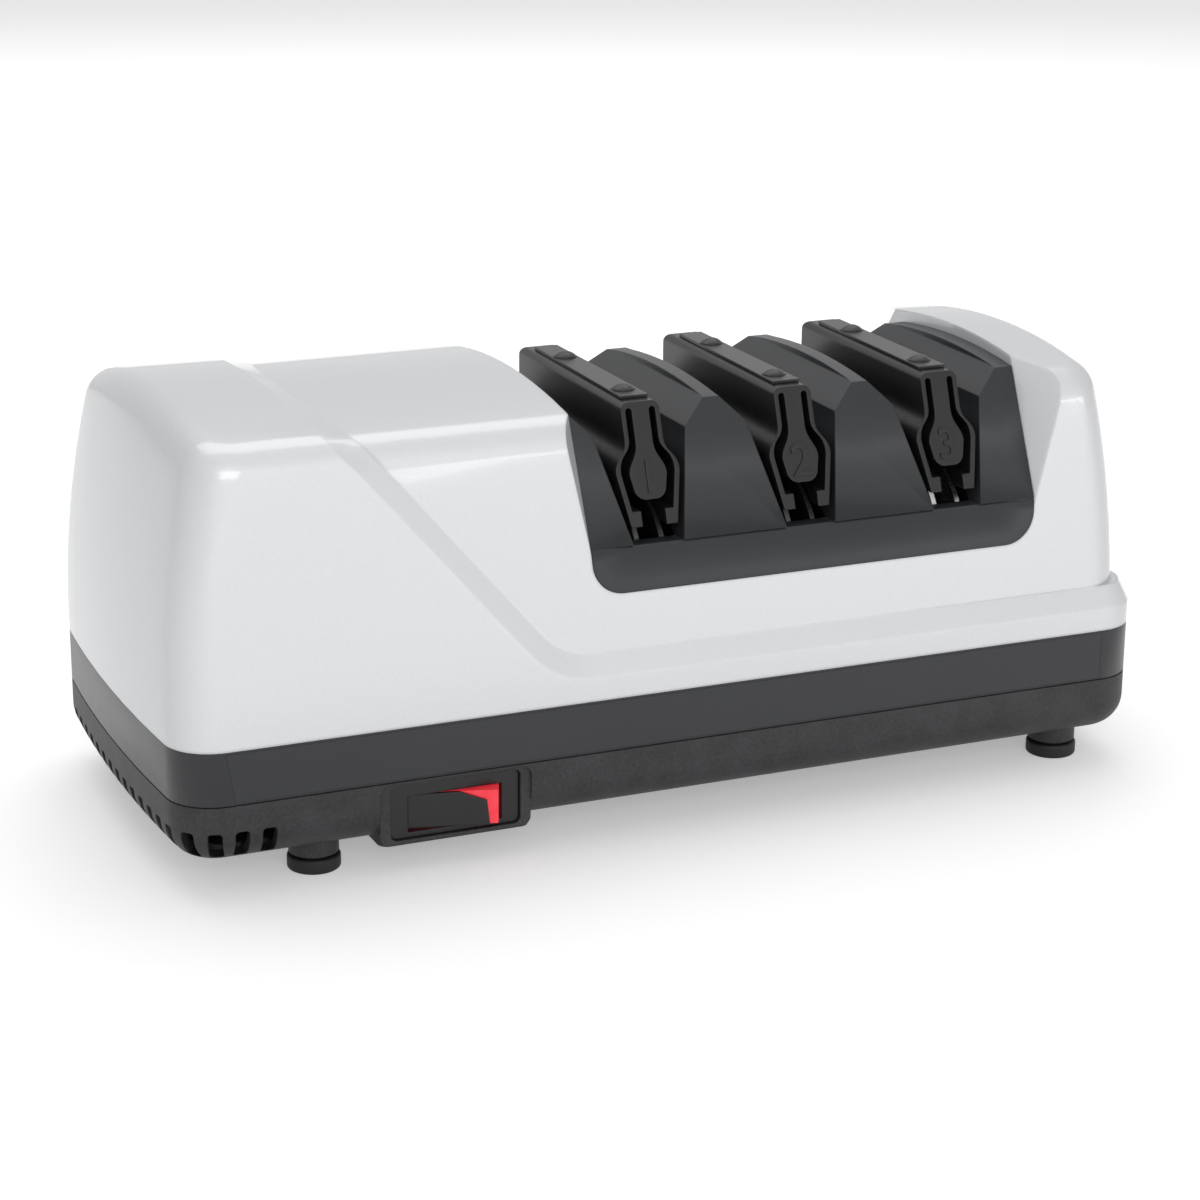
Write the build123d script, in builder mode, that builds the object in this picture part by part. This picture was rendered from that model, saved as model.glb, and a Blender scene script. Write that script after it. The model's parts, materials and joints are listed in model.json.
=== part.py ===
from build123d import *
import os
from math import atan2, cos, degrees, radians, sin, tan

os.makedirs("parts", exist_ok=True)

# ---------------------------------------------------------------------------
# Electric three-stage knife sharpener.  Millimetres, +X along the machine
# (motor end at -X), +Y to the back, +Z up.  The origin is on the table under
# the middle of the machine.
# ---------------------------------------------------------------------------

# Overall envelope
length = 254.0
depth = 108.0
height = 108.0

# Levels above the table
base_floor_z = 8.4
band_low_z = 22.9
band_high_z = 36.0

# Plan outline of the casing
left_bow = 2.6
right_bow = 2.1
corner_round = 11.5
top_round = 8.5
wall = 2.5

# How the casing walls lean in above the band
front_draft = 3.8
end_curve = 0.0022
end_curve_start_z = 44.0

# Crease: the raised shell steps down to a slimmer shell
crease_step = 2.6
crease_end_step = 3.8
crease_top_step = 2.0
crease_wall_cut = 2.6
crease_slope = 5.4
crease_z = 47.0
crease_corner_x = -length / 2 + 95.2
crease_angle = 49.5
crease_corner_round = 16.0
crease_leg_top_z = height - 7.5
crease_top_x = -length / 2 + 42.0
crease_bend_round = 9.0

# Arched tops (highest line lies a little in front of the middle)
arch_radius = 205.0
arch_y = -5.0
cap_top_z = height - 2.6

# Notch that holds the sharpening module
module_x = 35.15
notch_half = 59.3
notch_low_z = 60.4
notch_ref_z = 71.2
notch_left_lean = 5.2
notch_right_lean = 2.2
notch_round = 8.0
bevel_low_z = 70.2
bevel_high_z = 101.0
hump_bevel_run = (-3.7, -5.0)
cap_bevel_run = (7.4, -13.7)
cap_back_run = (11.4, 19.6)

# Clearances
fit_gap = 0.15
free_gap = 0.3
bush_gap = 0.03
seat_gap = 0.02
thread_gap = 0.05

# Screws (plain shanks stand for the threads)
screw_radius = 1.5
screw_head_radius = 2.8
screw_head_height = 2.2
screw_clear_radius = 1.75
boss_radius = 4.2

# Feet, each over a base screw
foot_left_x = -length / 2 + 36.9
foot_right_x = length / 2 - 18.6
foot_y = depth / 2 - 13.2
foot_radius = 6.3
foot_pad_height = 3.6
foot_neck_radius = 4.8
foot_post_radius = 5.9
foot_post_low_z = 4.2
foot_spigot_height = 6.0
foot_bore_radius = 3.5
foot_bore_wall = 1.5
foot_edge_round = 0.7
base_screw_seat_z = 16.4
base_screw_length = 31.0
housing_boss_height = 20.0

# Base tray
base_edge_round = 8.0
rim_lip_height = 2.0
rim_lip_thickness = 1.2
vent_width = 3.4
vent_height = 6.8
vent_low_z = 9.8
vent_pitch = 6.4
vent_end_count = 13
vent_first_y = -37.1
vent_corner_count = 3
vent_front_count = 2
vent_first_corner_angle = 185.0

# Bare plate on the band
plate_left_x = -length / 2 + 12.8
plate_right_x = length / 2 - 13.8
plate_slant = 2.0
plate_margin = 0.6
plate_thickness = 0.6

# Shaft and sharpening discs
shaft_y = -depth / 2 + 27.0
shaft_z = 60.0
shaft_radius = 3.0
shaft_left_x = -length / 2 + 13.0
shaft_right_x = module_x + 68.85
stage_pitch = 39.8
stage_shift = -2.15
disc_radius = 20.0
disc_rim_inner = 2.6
disc_rim_outer = 3.8
disc_web_radius = 9.0
disc_web_inner = 6.3
disc_web_outer = 7.8
disc_hub_radius = 5.5
disc_hub_outer = 8.9
disc_pin_radius = 1.0
disc_pin_length = 11.0
spring_wire_radius = 0.4
spring_radius = 4.4
spring_turns = 5

# Sharpening module
slot_half = 6.4
slot_flank = 12.9
slot_low_z = notch_ref_z
slot_high_z = 95.2
ridge_half = 1.9
ridge_peak_z = height - 5.2
ridge_arch_y = -8.0
ridge_front_y = -depth / 2 + 19.4
ridge_back_y = depth / 2 - 31.4
ridge_end_z = 100.0
well_radius = 20.7
well_half = 10.4
well_rim_half = 6.2
well_neck_radius = 9.5
tunnel_radius = 7.0
block_left_x = module_x - 55.15
block_right_x = module_x + 50.85
block_front_y = -depth / 2 + 6.8
block_back_y = shaft_y + 26.5
block_low_z = 33.0
module_screw_y = depth / 2 - 10.5
module_screw_half_span = 34.0
module_tab_thickness = 2.5
module_tab_width = 12.0
module_screw_length = 11.0

# Blade guides
guide_top_z = 102.5
guide_half = 4.9
guide_shoulder_round = 2.0
guide_low_z = 75.0
guide_front_y = -depth / 2 + 17.0
guide_front_low_y = -depth / 2 + 7.0
guide_back_y = depth / 2 - 27.7
guide_back_round = 2.5
guide_disc_gap = 0.8
guide_rib_half = 2.0
guide_rib_top_z = 88.0
guide_rib_front_y = shaft_y + 27.0
guide_rib_back_y = shaft_y + 46.0
strip_front_width = 7.2
strip_back_width = 6.0
strip_front_y = -depth / 2 + 20.0
strip_back_y = -depth / 2 + 74.5
strip_height = 0.8
pin_head_radius = 3.0
pin_head_height = 1.4
pin_radius = 1.2
pin_front_y = shaft_y - 0.5
pin_back_y = shaft_y + 35.0
pin_front_shank = 7.5
pin_rib_grip = 4.0

# Half profile of a blade guide seen from the front, measured from its middle:
# outer side of the springy arm, inner side of the arm, then the bulb of the tongue
arm_outer_bend = ((4.9, 94.2), (7.3, 89.6), (8.1, 86.8))
arm_foot = ((8.1, 86.8), (5.9, 75.0), (3.1, 75.0), (3.1, 78.4), (5.3, 78.4), (6.85, 86.8))
arm_inner_bend = ((6.85, 86.8), (6.1, 90.1), (3.8, 94.5))
gap_top = ((3.8, 100.4), (3.0, 101.2), (2.2, 100.4))
tongue_bend = ((2.2, 93.5), (4.1, 88.6), (4.7, 86.2))
bulb_side = ((4.7, 86.2), (4.1, 83.4))
bulb_low = ((4.1, 83.4), (3.0, 81.4), (1.4, 80.8))

# Motor
stack_left_x = -length / 2 + 43.0
stack_right_x = stack_left_x + 26.0
stack_front_y = shaft_y - 17.5
stack_back_y = shaft_y + 47.0
stack_half_height = 25.0
stack_edge_cut = 3.0
bore_radius = 13.4
rotor_radius = 13.0
rotor_end_step = 1.5
rotor_end_reach = 2.5
window_front_y = shaft_y + 17.5
window_half_height = 12.0
leg_thickness = 12.0
bracket_offset = 12.0
bracket_plate = 2.0
bracket_width = 22.0
bracket_bolt_z = 20.5
bush_radius = 5.0
bush_length = 7.0
bobbin_wall = 1.2
bobbin_flange = 9.4
bobbin_round = 4.0
winding_build = 8.0
winding_round = 6.0
fan_left_x = -length / 2 + 15.0
fan_width = 8.0
fan_radius = 18.0
fan_hub_radius = 5.0
fan_blades = 9
fan_blade_thickness = 1.2
motor_post_left_x = stack_left_x + 4.0
motor_post_right_x = stack_right_x - 4.0
motor_post_front_y = stack_front_y + 6.5
motor_post_back_y = stack_back_y - 8.0
motor_screw_seat_z = 12.0
motor_screw_grip = 8.0
nut_height = 2.4

# End bearing
end_bracket_left_x = module_x + 62.85
end_bracket_plate = 4.0
end_bracket_half_width = 8.0
end_foot_half_length = 10.0
end_foot_z = 17.0
end_foot_thickness = 2.5
end_screw_offset = 6.0
end_screw_length = 6.5

# Rocker switch
switch_x = -length / 2 + 67.6
switch_low_z = 9.7
switch_high_z = 18.6
switch_half = 11.6
switch_pad_margin = 7.0
switch_pad_low_z = 7.2
switch_pad_high_z = 22.4
switch_pad_y = -depth / 2 + 0.6
switch_pad_depth = 7.0
switch_pad_round = 2.5
switch_bay_reach = 4.0
bezel_margin = 4.3
bezel_low_z = 8.4
bezel_high_z = 21.6
bezel_face_y = -depth / 2 + 1.4
bezel_thickness = 1.4
bezel_round = 1.5
switch_wall = 0.8
switch_back_y = -depth / 2 + 18.0
switch_back_wall = 1.5
rocker_pivot_y = -depth / 2 + 4.4
rocker_tilt = 14.0
rocker_round = 11.3
rocker_face = 4.4
rocker_dish = 0.7
rocker_cap_thickness = 0.8
rocker_back = 3.0
rocker_red_end = 2.6
rocker_red_top = 0.9
rocker_pin_radius = 1.2
rocker_pin_reach = 0.9
terminal_length = 6.5
terminal_width = 4.8
terminal_thickness = 0.8
terminal_pitch = 8.0

# Cord inlet
inlet_x = -length / 2 + 43.0
inlet_z = 16.4
inlet_pad_radius = 6.3
inlet_flange_radius = 5.8
inlet_neck_radius = 4.1
inlet_bore_radius = 3.1
inlet_inner_flange = 1.6
inlet_flange_step = 1.0
inlet_wall = 2.5 * wall

# Filings door under the base
filings_left_x = 20.0
filings_right_x = 80.0
filings_front_y = -depth / 2 + 21.5
filings_back_y = shaft_y + 21.0
filings_corner_round = 3.0
door_margin = 2.5
door_thickness = 1.7
door_travel = 30.0
door_corner_round = 1.0
rail_wall = 1.5
rail_lip = 3.0
rail_lip_thickness = 0.9
door_grip_height = 1.0
door_grip_inset = 6.0
door_grip_pitch = 2.4
door_grip_count = 4
magnet_radius = 6.0
magnet_height = 2.0
magnet_x = 65.0

# Dressing lever at the back of stage three
lever_pivot_y = shaft_y + 41.0
lever_low_z = 52.0
lever_thickness = 3.0
lever_pin_radius = 1.5
lever_hub_radius = 4.5
lever_half_width = 2.5
lever_pad_front_y = shaft_y + 20.4
lever_pad_length = 3.0
lever_pad_half_width = 3.5
lever_pad_height = 7.0
lever_knob_y = depth / 2 - 1.9
lever_knob_half_width = 4.0
lever_pin_head = 1.5
lever_slot_half = 7.0
lever_slot_half_height = 3.2

# Worked out from the sizes above
stage_centres = [module_x + stage_shift + stage_pitch * k for k in (-1, 0, 1)]
stack_x = (stack_left_x + stack_right_x) / 2
stack_width = stack_right_x - stack_left_x
disc_pin_x = disc_hub_outer + free_gap + disc_pin_radius
rocker_length = (rocker_round ** 2 - rocker_face ** 2) ** 0.5
rocker_reach = (rocker_length - rocker_red_end) * sin(radians(rocker_tilt)) \
    + rocker_face * cos(radians(rocker_tilt)) - rocker_pivot_y
foot_places = [(x, y) for x in (foot_left_x, foot_right_x) for y in (-foot_y, foot_y)]
motor_posts = [(motor_post_left_x, motor_post_front_y), (motor_post_left_x, motor_post_back_y),
               (motor_post_right_x, motor_post_back_y)]


def casing_y(z):
    """Half depth of the slim shell at height z."""
    return depth / 2 - crease_step - tan(radians(front_draft)) * max(z - end_curve_start_z, 0.0)


# ---------------------------------------------------------------------------
# Shared outline helpers
# ---------------------------------------------------------------------------
def plan_sketch(z, left_in, right_in, side_in, radius):
    """Rounded plan of the casing at height z, moved in by the given amounts."""
    x_left = -length / 2 + left_in
    x_right = length / 2 - right_in
    y_side = depth / 2 - side_in
    with BuildSketch(Plane.XY.offset(z)) as plan:
        with BuildLine():
            ThreePointArc((x_left + left_bow, y_side), (x_left, 0), (x_left + left_bow, -y_side))
            Line((x_left + left_bow, -y_side), (x_right - right_bow, -y_side))
            ThreePointArc((x_right - right_bow, -y_side), (x_right, 0), (x_right - right_bow, y_side))
            Line((x_right - right_bow, y_side), (x_left + left_bow, y_side))
        make_face()
        fillet(plan.vertices(), radius)
    return plan.sketch


def inner_plan(z, inset):
    """Plan of the casing at height z, the same distance inside all round."""
    return plan_sketch(z, inset, inset, inset, corner_round - inset * 0.8)


def lean_sections(side_in, right_in, shrink=0.0):
    """Plan sections up the casing: ends curve in, front and back lean in."""
    levels = (band_high_z, end_curve_start_z, 62.0, 80.0, 98.0, height + 6)
    sections = []
    for z in levels:
        rise = max(z - end_curve_start_z, 0.0)
        end_in = end_curve * rise * rise
        lean = tan(radians(front_draft)) * rise
        sections.append(plan_sketch(z, side_in + shrink + end_in, right_in + shrink + end_in,
                                    side_in + shrink + lean, corner_round - shrink * 0.8))
    return sections


def arch_sketch(x, peak_y, peak_z):
    """End view of everything under the arched top, for cutting tops to shape."""
    y_far = depth / 2 + 10
    drop_front = arch_radius - (arch_radius ** 2 - (y_far + peak_y) ** 2) ** 0.5
    drop_back = arch_radius - (arch_radius ** 2 - (y_far - peak_y) ** 2) ** 0.5
    with BuildSketch(Plane.YZ.offset(x)) as view:
        with BuildLine():
            ThreePointArc((-y_far, peak_z - drop_front), (peak_y, peak_z), (y_far, peak_z - drop_back))
            Polyline((y_far, peak_z - drop_back), (y_far, 0), (-y_far, 0), (-y_far, peak_z - drop_front))
        make_face()
    return view.sketch


def notch_edges(z, grow=0.0):
    """Left and right wall of the notch at height z, grown sideways by the given amount."""
    rise = z - notch_ref_z
    left_x = module_x - notch_half - grow - tan(radians(notch_left_lean)) * rise
    right_x = module_x + notch_half + grow + tan(radians(notch_right_lean)) * rise
    return left_x, right_x


def notch_sketch(grow, low_z, radius):
    """Front view of the U-shaped notch, grown sideways by the given amount."""
    high_z = height + 12
    low_left, low_right = notch_edges(low_z, grow)
    high_left, high_right = notch_edges(high_z, grow)
    with BuildSketch(Plane.XZ) as view:
        with BuildLine():
            Polyline((low_left, low_z), (low_right, low_z), (high_right, high_z), (high_left, high_z),
                     close=True)
        make_face()
        if radius > 0:
            fillet(view.vertices().group_by(Axis.Y)[0], radius)
    return view.sketch


def corner_cutter(apex, face_end, wall_end, inside_x, inset=0.0):
    """Everything outside a sloping plane through three corner points, from the apex up."""
    top_z = height + 12
    reach = depth / 2 + 6
    along = (Vector(*face_end) - Vector(*wall_end)).normalized()
    outward = Vector(-along.Y, along.X, 0)
    if outward.dot(Vector(apex[0] - inside_x, apex[1], 0)) < 0:
        outward = outward * -1
    start = Vector(*apex) - outward * inset
    rise = (top_z - apex[2]) / (face_end[2] - apex[2])
    finish = start + (Vector(*face_end) - Vector(*apex)) * rise
    sections = []
    for middle in (start, finish):
        corners = (middle + along * reach, middle - along * reach,
                   middle - along * reach + outward * reach, middle + along * reach + outward * reach)
        with BuildSketch(Plane.XY.offset(middle.Z)) as trace:
            with BuildLine():
                Polyline(*[(c.X, c.Y) for c in corners], close=True)
            make_face()
        sections.append(trace.sketch)
    with BuildPart() as cutter:
        loft(sections)
    return cutter.part


def end_shell(side_in, right_in, shrink, peak_z, from_x, to_x, radius):
    """Casing volume between two x planes under an arched top, top edges rounded."""
    with BuildPart() as shell:
        loft(lean_sections(side_in, right_in, shrink))
        extrude(arch_sketch(from_x, arch_y, peak_z), amount=to_x - from_x, mode=Mode.INTERSECT)
        top_edges = shell.faces().sort_by(Axis.Z)[-1].edges()
        fillet(top_edges.filter_by(lambda e: abs(e.center().X - module_x) > 0.5), radius)
    return shell.part


# ---------------------------------------------------------------------------
# Upper housing: a raised shell, a slimmer shell, an end cap and the notch
# ---------------------------------------------------------------------------
with BuildPart() as crease_mask:
    with BuildSketch(Plane.XZ) as mask_view:
        leg_run = (crease_leg_top_z - crease_z) / tan(radians(crease_angle))
        bend_z = height - 1.5
        with BuildLine():
            Polyline((-length, 0), (length, 0), (length, crease_z), (crease_corner_x, crease_z),
                     (crease_corner_x - leg_run, crease_leg_top_z), (crease_top_x, bend_z),
                     (crease_top_x, height + 20), (-length, height + 20), close=True)
        make_face()
        fillet(mask_view.vertices().sort_by_distance((crease_corner_x, crease_z, 0))[0], crease_corner_round)
        bends = [mask_view.vertices().sort_by_distance((crease_corner_x - leg_run, crease_leg_top_z, 0))[0],
                 mask_view.vertices().sort_by_distance((crease_top_x, bend_z, 0))[0]]
        fillet(bends, crease_bend_round)
    extrude(amount=depth, both=True)


def crease_edges(shell):
    """Edges along which the step down to the slimmer shell meets the raised shell."""
    edges = ShapeList()
    for face in shell.faces():
        normal = face.normal_at(face.center())
        middle = face.center()
        on_top = normal.Z > 0.9 and middle.Z > cap_top_z
        on_end = normal.X > 0.9 and middle.X > length / 3
        if abs(normal.Y) > 0.02 or max(normal.Z, normal.X) < 0.3 or on_top or on_end:
            continue
        edges += face.edges().filter_by(
            lambda e: not (e.geom_type == GeomType.LINE and abs(e.tangent_at(0.5).Y) > 0.98))
    return edges


with BuildPart() as raised_shell:
    add(end_shell(0, 0, 0, height, -length, length, top_round))
    add(crease_mask.part, mode=Mode.INTERSECT)
    chamfer(crease_edges(raised_shell), crease_slope, crease_wall_cut)



def bevel_plane(edge, side, run):
    """Corner points of the bevel beside the notch: edge 0 left, 1 right; side -1 front, 1 back."""
    low = (notch_edges(bevel_low_z)[edge], side * casing_y(bevel_low_z), bevel_low_z)
    wall_x = notch_edges(bevel_high_z)[edge]
    face_y = side * casing_y(bevel_high_z)
    return low, (wall_x + run[0], face_y, bevel_high_z), (wall_x, face_y - run[1], bevel_high_z)


hump_bevel = bevel_plane(0, -1, hump_bevel_run)
cap_bevel = bevel_plane(1, -1, cap_bevel_run)
cap_back_bevel = bevel_plane(1, 1, cap_back_run)
hump_inside_x = -length / 4
cap_inside_x = length / 2 - 15

with BuildPart() as housing_space:
    add(end_shell(crease_step, crease_end_step, wall, height - crease_top_step - wall,
                  -length, module_x, top_round - wall))
    add(end_shell(crease_step, crease_end_step, wall, cap_top_z - wall,
                  module_x, length, top_round - wall))
    extrude(notch_sketch(wall, notch_low_z, 0), amount=depth, both=True, mode=Mode.SUBTRACT)
    add(corner_cutter(*hump_bevel, hump_inside_x, wall), mode=Mode.SUBTRACT)
    add(corner_cutter(*cap_bevel, cap_inside_x, wall), mode=Mode.SUBTRACT)
    add(corner_cutter(*cap_back_bevel, cap_inside_x, wall), mode=Mode.SUBTRACT)

with BuildPart() as hump_shell:
    add(end_shell(crease_step, crease_end_step, 0, height - crease_top_step,
                  -length, module_x, top_round))
    add(corner_cutter(*hump_bevel, hump_inside_x), mode=Mode.SUBTRACT)

with BuildPart() as cap_shell:
    add(end_shell(crease_step, crease_end_step, 0, cap_top_z, module_x, length, top_round))
    add(corner_cutter(*cap_bevel, cap_inside_x), mode=Mode.SUBTRACT)
    add(corner_cutter(*cap_back_bevel, cap_inside_x), mode=Mode.SUBTRACT)

with BuildPart() as upper_housing:
    add(raised_shell.part)
    add(hump_shell.part)
    add(cap_shell.part)
    add(housing_space.part, mode=Mode.SUBTRACT)
    extrude(notch_sketch(0, notch_low_z, notch_round), amount=depth, both=True, mode=Mode.SUBTRACT)
    # lip that drops inside the band
    extrude(inner_plan(band_high_z - rim_lip_height, wall + fit_gap), amount=rim_lip_height)
    extrude(inner_plan(band_high_z - rim_lip_height, wall + fit_gap + rim_lip_thickness),
            amount=rim_lip_height, mode=Mode.SUBTRACT)
    # bosses for the base screws, each tied to the nearest wall by a rib
    for x, y in foot_places:
        side = 1 if y > 0 else -1
        with BuildSketch(Plane.XY.offset(band_high_z)):
            with Locations((x, y)):
                Circle(boss_radius)
            with Locations((x, side * (foot_y + casing_y(0) - 1) / 2)):
                Rectangle(2.0, casing_y(0) - 1 - foot_y)
        extrude(amount=housing_boss_height)
        with BuildSketch(Plane.XY.offset(band_high_z)):
            with Locations((x, y)):
                Circle(screw_radius + thread_gap)
        extrude(amount=housing_boss_height - 2, mode=Mode.SUBTRACT)
    # tabs behind the back wall that carry the module screws
    for x in (module_x - module_screw_half_span, module_x + module_screw_half_span):
        tab_back_y = casing_y(notch_low_z) - 1
        tab_front_y = module_screw_y - boss_radius
        with BuildSketch(Plane.XY.offset(notch_low_z - module_tab_thickness)):
            with Locations((x, (tab_back_y + tab_front_y) / 2)):
                Rectangle(module_tab_width, tab_back_y - tab_front_y)
            with Locations((x, module_screw_y)):
                Circle(screw_clear_radius, mode=Mode.SUBTRACT)
        extrude(amount=module_tab_thickness)
    # passages for the shaft through both walls of the notch
    with BuildSketch(Plane.YZ.offset(module_x - notch_half - 12)):
        with Locations((shaft_y, shaft_z)):
            Circle(tunnel_radius)
    extrude(amount=2 * notch_half + 24, mode=Mode.SUBTRACT)
    # slot in the back wall for the dressing lever
    with BuildSketch(Plane.XZ.offset(-casing_y(0) - 5)):
        with Locations((stage_centres[2], lever_low_z + lever_thickness / 2)):
            SlotOverall(2 * lever_slot_half + 2 * lever_slot_half_height - 2, 2 * lever_slot_half_height)
    extrude(amount=12, mode=Mode.SUBTRACT)
upper_housing.part.label = "upper_housing"
export_step(upper_housing.part, "parts/upper_housing.step")

# ---------------------------------------------------------------------------
# Trim band between the base and the housing, with its bare plate
# ---------------------------------------------------------------------------
def plate_sketch(gap):
    """Outline of the bare plate on the front of the band, slanted at its left end."""
    low_z = band_low_z + plate_margin + gap
    high_z = band_high_z - plate_margin - gap
    with BuildSketch(Plane.XZ.offset(depth / 2 - plate_thickness)) as view:
        with BuildLine():
            Polyline((plate_left_x + gap, high_z), (plate_left_x + plate_slant + gap, low_z),
                     (plate_right_x - gap, low_z), (plate_right_x - gap, high_z), close=True)
        make_face()
    return view.sketch


with BuildPart() as trim_band:
    extrude(inner_plan(band_low_z, 0), amount=band_high_z - band_low_z)
    extrude(inner_plan(band_low_z, wall), amount=band_high_z - band_low_z, mode=Mode.SUBTRACT)
    extrude(plate_sketch(0), amount=2 * plate_thickness, mode=Mode.SUBTRACT)
trim_band.part.label = "trim_band"
export_step(trim_band.part, "parts/trim_band.step")

with BuildPart() as label_plate:
    extrude(plate_sketch(fit_gap), amount=2 * plate_thickness)
    extrude(inner_plan(band_low_z, 0), amount=band_high_z - band_low_z, mode=Mode.INTERSECT)
label_plate.part.label = "label_plate"
export_step(label_plate.part, "parts/label_plate.step")

# ---------------------------------------------------------------------------
# Base tray
# ---------------------------------------------------------------------------
floor_top_z = base_floor_z + wall
stack_low_z = shaft_z - stack_half_height
switch_mid_z = (switch_low_z + switch_high_z) / 2
switch_height = switch_high_z - switch_low_z
bezel_height = bezel_high_z - bezel_low_z
bezel_mid_z = (bezel_high_z + bezel_low_z) / 2
bezel_back_y = bezel_face_y + bezel_thickness
pad_height = switch_pad_high_z - switch_pad_low_z
pad_mid_z = (switch_pad_high_z + switch_pad_low_z) / 2
pad_width = 2 * (switch_half + switch_pad_margin)
bay_depth_y = switch_back_y + switch_bay_reach
door_high_z = base_floor_z - free_gap
door_low_z = door_high_z - door_thickness
door_front_y = filings_front_y - door_margin
door_back_y = filings_back_y + door_margin
door_left_x = filings_left_x - door_margin
door_right_x = filings_right_x + door_margin
rail_low_z = door_low_z - free_gap - rail_lip_thickness


def vent_planes():
    """Cutting planes of the vents: along the left end, round the corner, along the front."""
    mid_z = vent_low_z + vent_height / 2
    reach = corner_round + 1
    corner_x = -length / 2 + left_bow + corner_round
    corner_y = -depth / 2 + corner_round
    planes = []
    for k in range(vent_end_count):
        origin = (-length / 2 - 1, vent_first_y + k * vent_pitch, mid_z)
        planes.append(Plane(origin=origin, x_dir=(0, 1, 0), z_dir=(1, 0, 0)))
    angle_step = degrees(vent_pitch / corner_round)
    for k in range(vent_corner_count):
        angle = radians(vent_first_corner_angle + k * angle_step)
        origin = (corner_x + reach * cos(angle), corner_y + reach * sin(angle), mid_z)
        planes.append(Plane(origin=origin, x_dir=(-sin(angle), cos(angle), 0),
                            z_dir=(-cos(angle), -sin(angle), 0)))
    last_angle = vent_first_corner_angle + (vent_corner_count - 1) * angle_step
    first_x = corner_x + vent_pitch - corner_round * radians(270 - last_angle)
    for k in range(vent_front_count):
        origin = (first_x + k * vent_pitch, -depth / 2 - 1, mid_z)
        planes.append(Plane(origin=origin, x_dir=(-1, 0, 0), z_dir=(0, 1, 0)))
    return planes


with BuildPart() as tray_space:
    extrude(inner_plan(floor_top_z, wall), amount=band_low_z - base_floor_z)
    fillet(tray_space.faces().sort_by(Axis.Z)[0].edges(), base_edge_round - wall)

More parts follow.
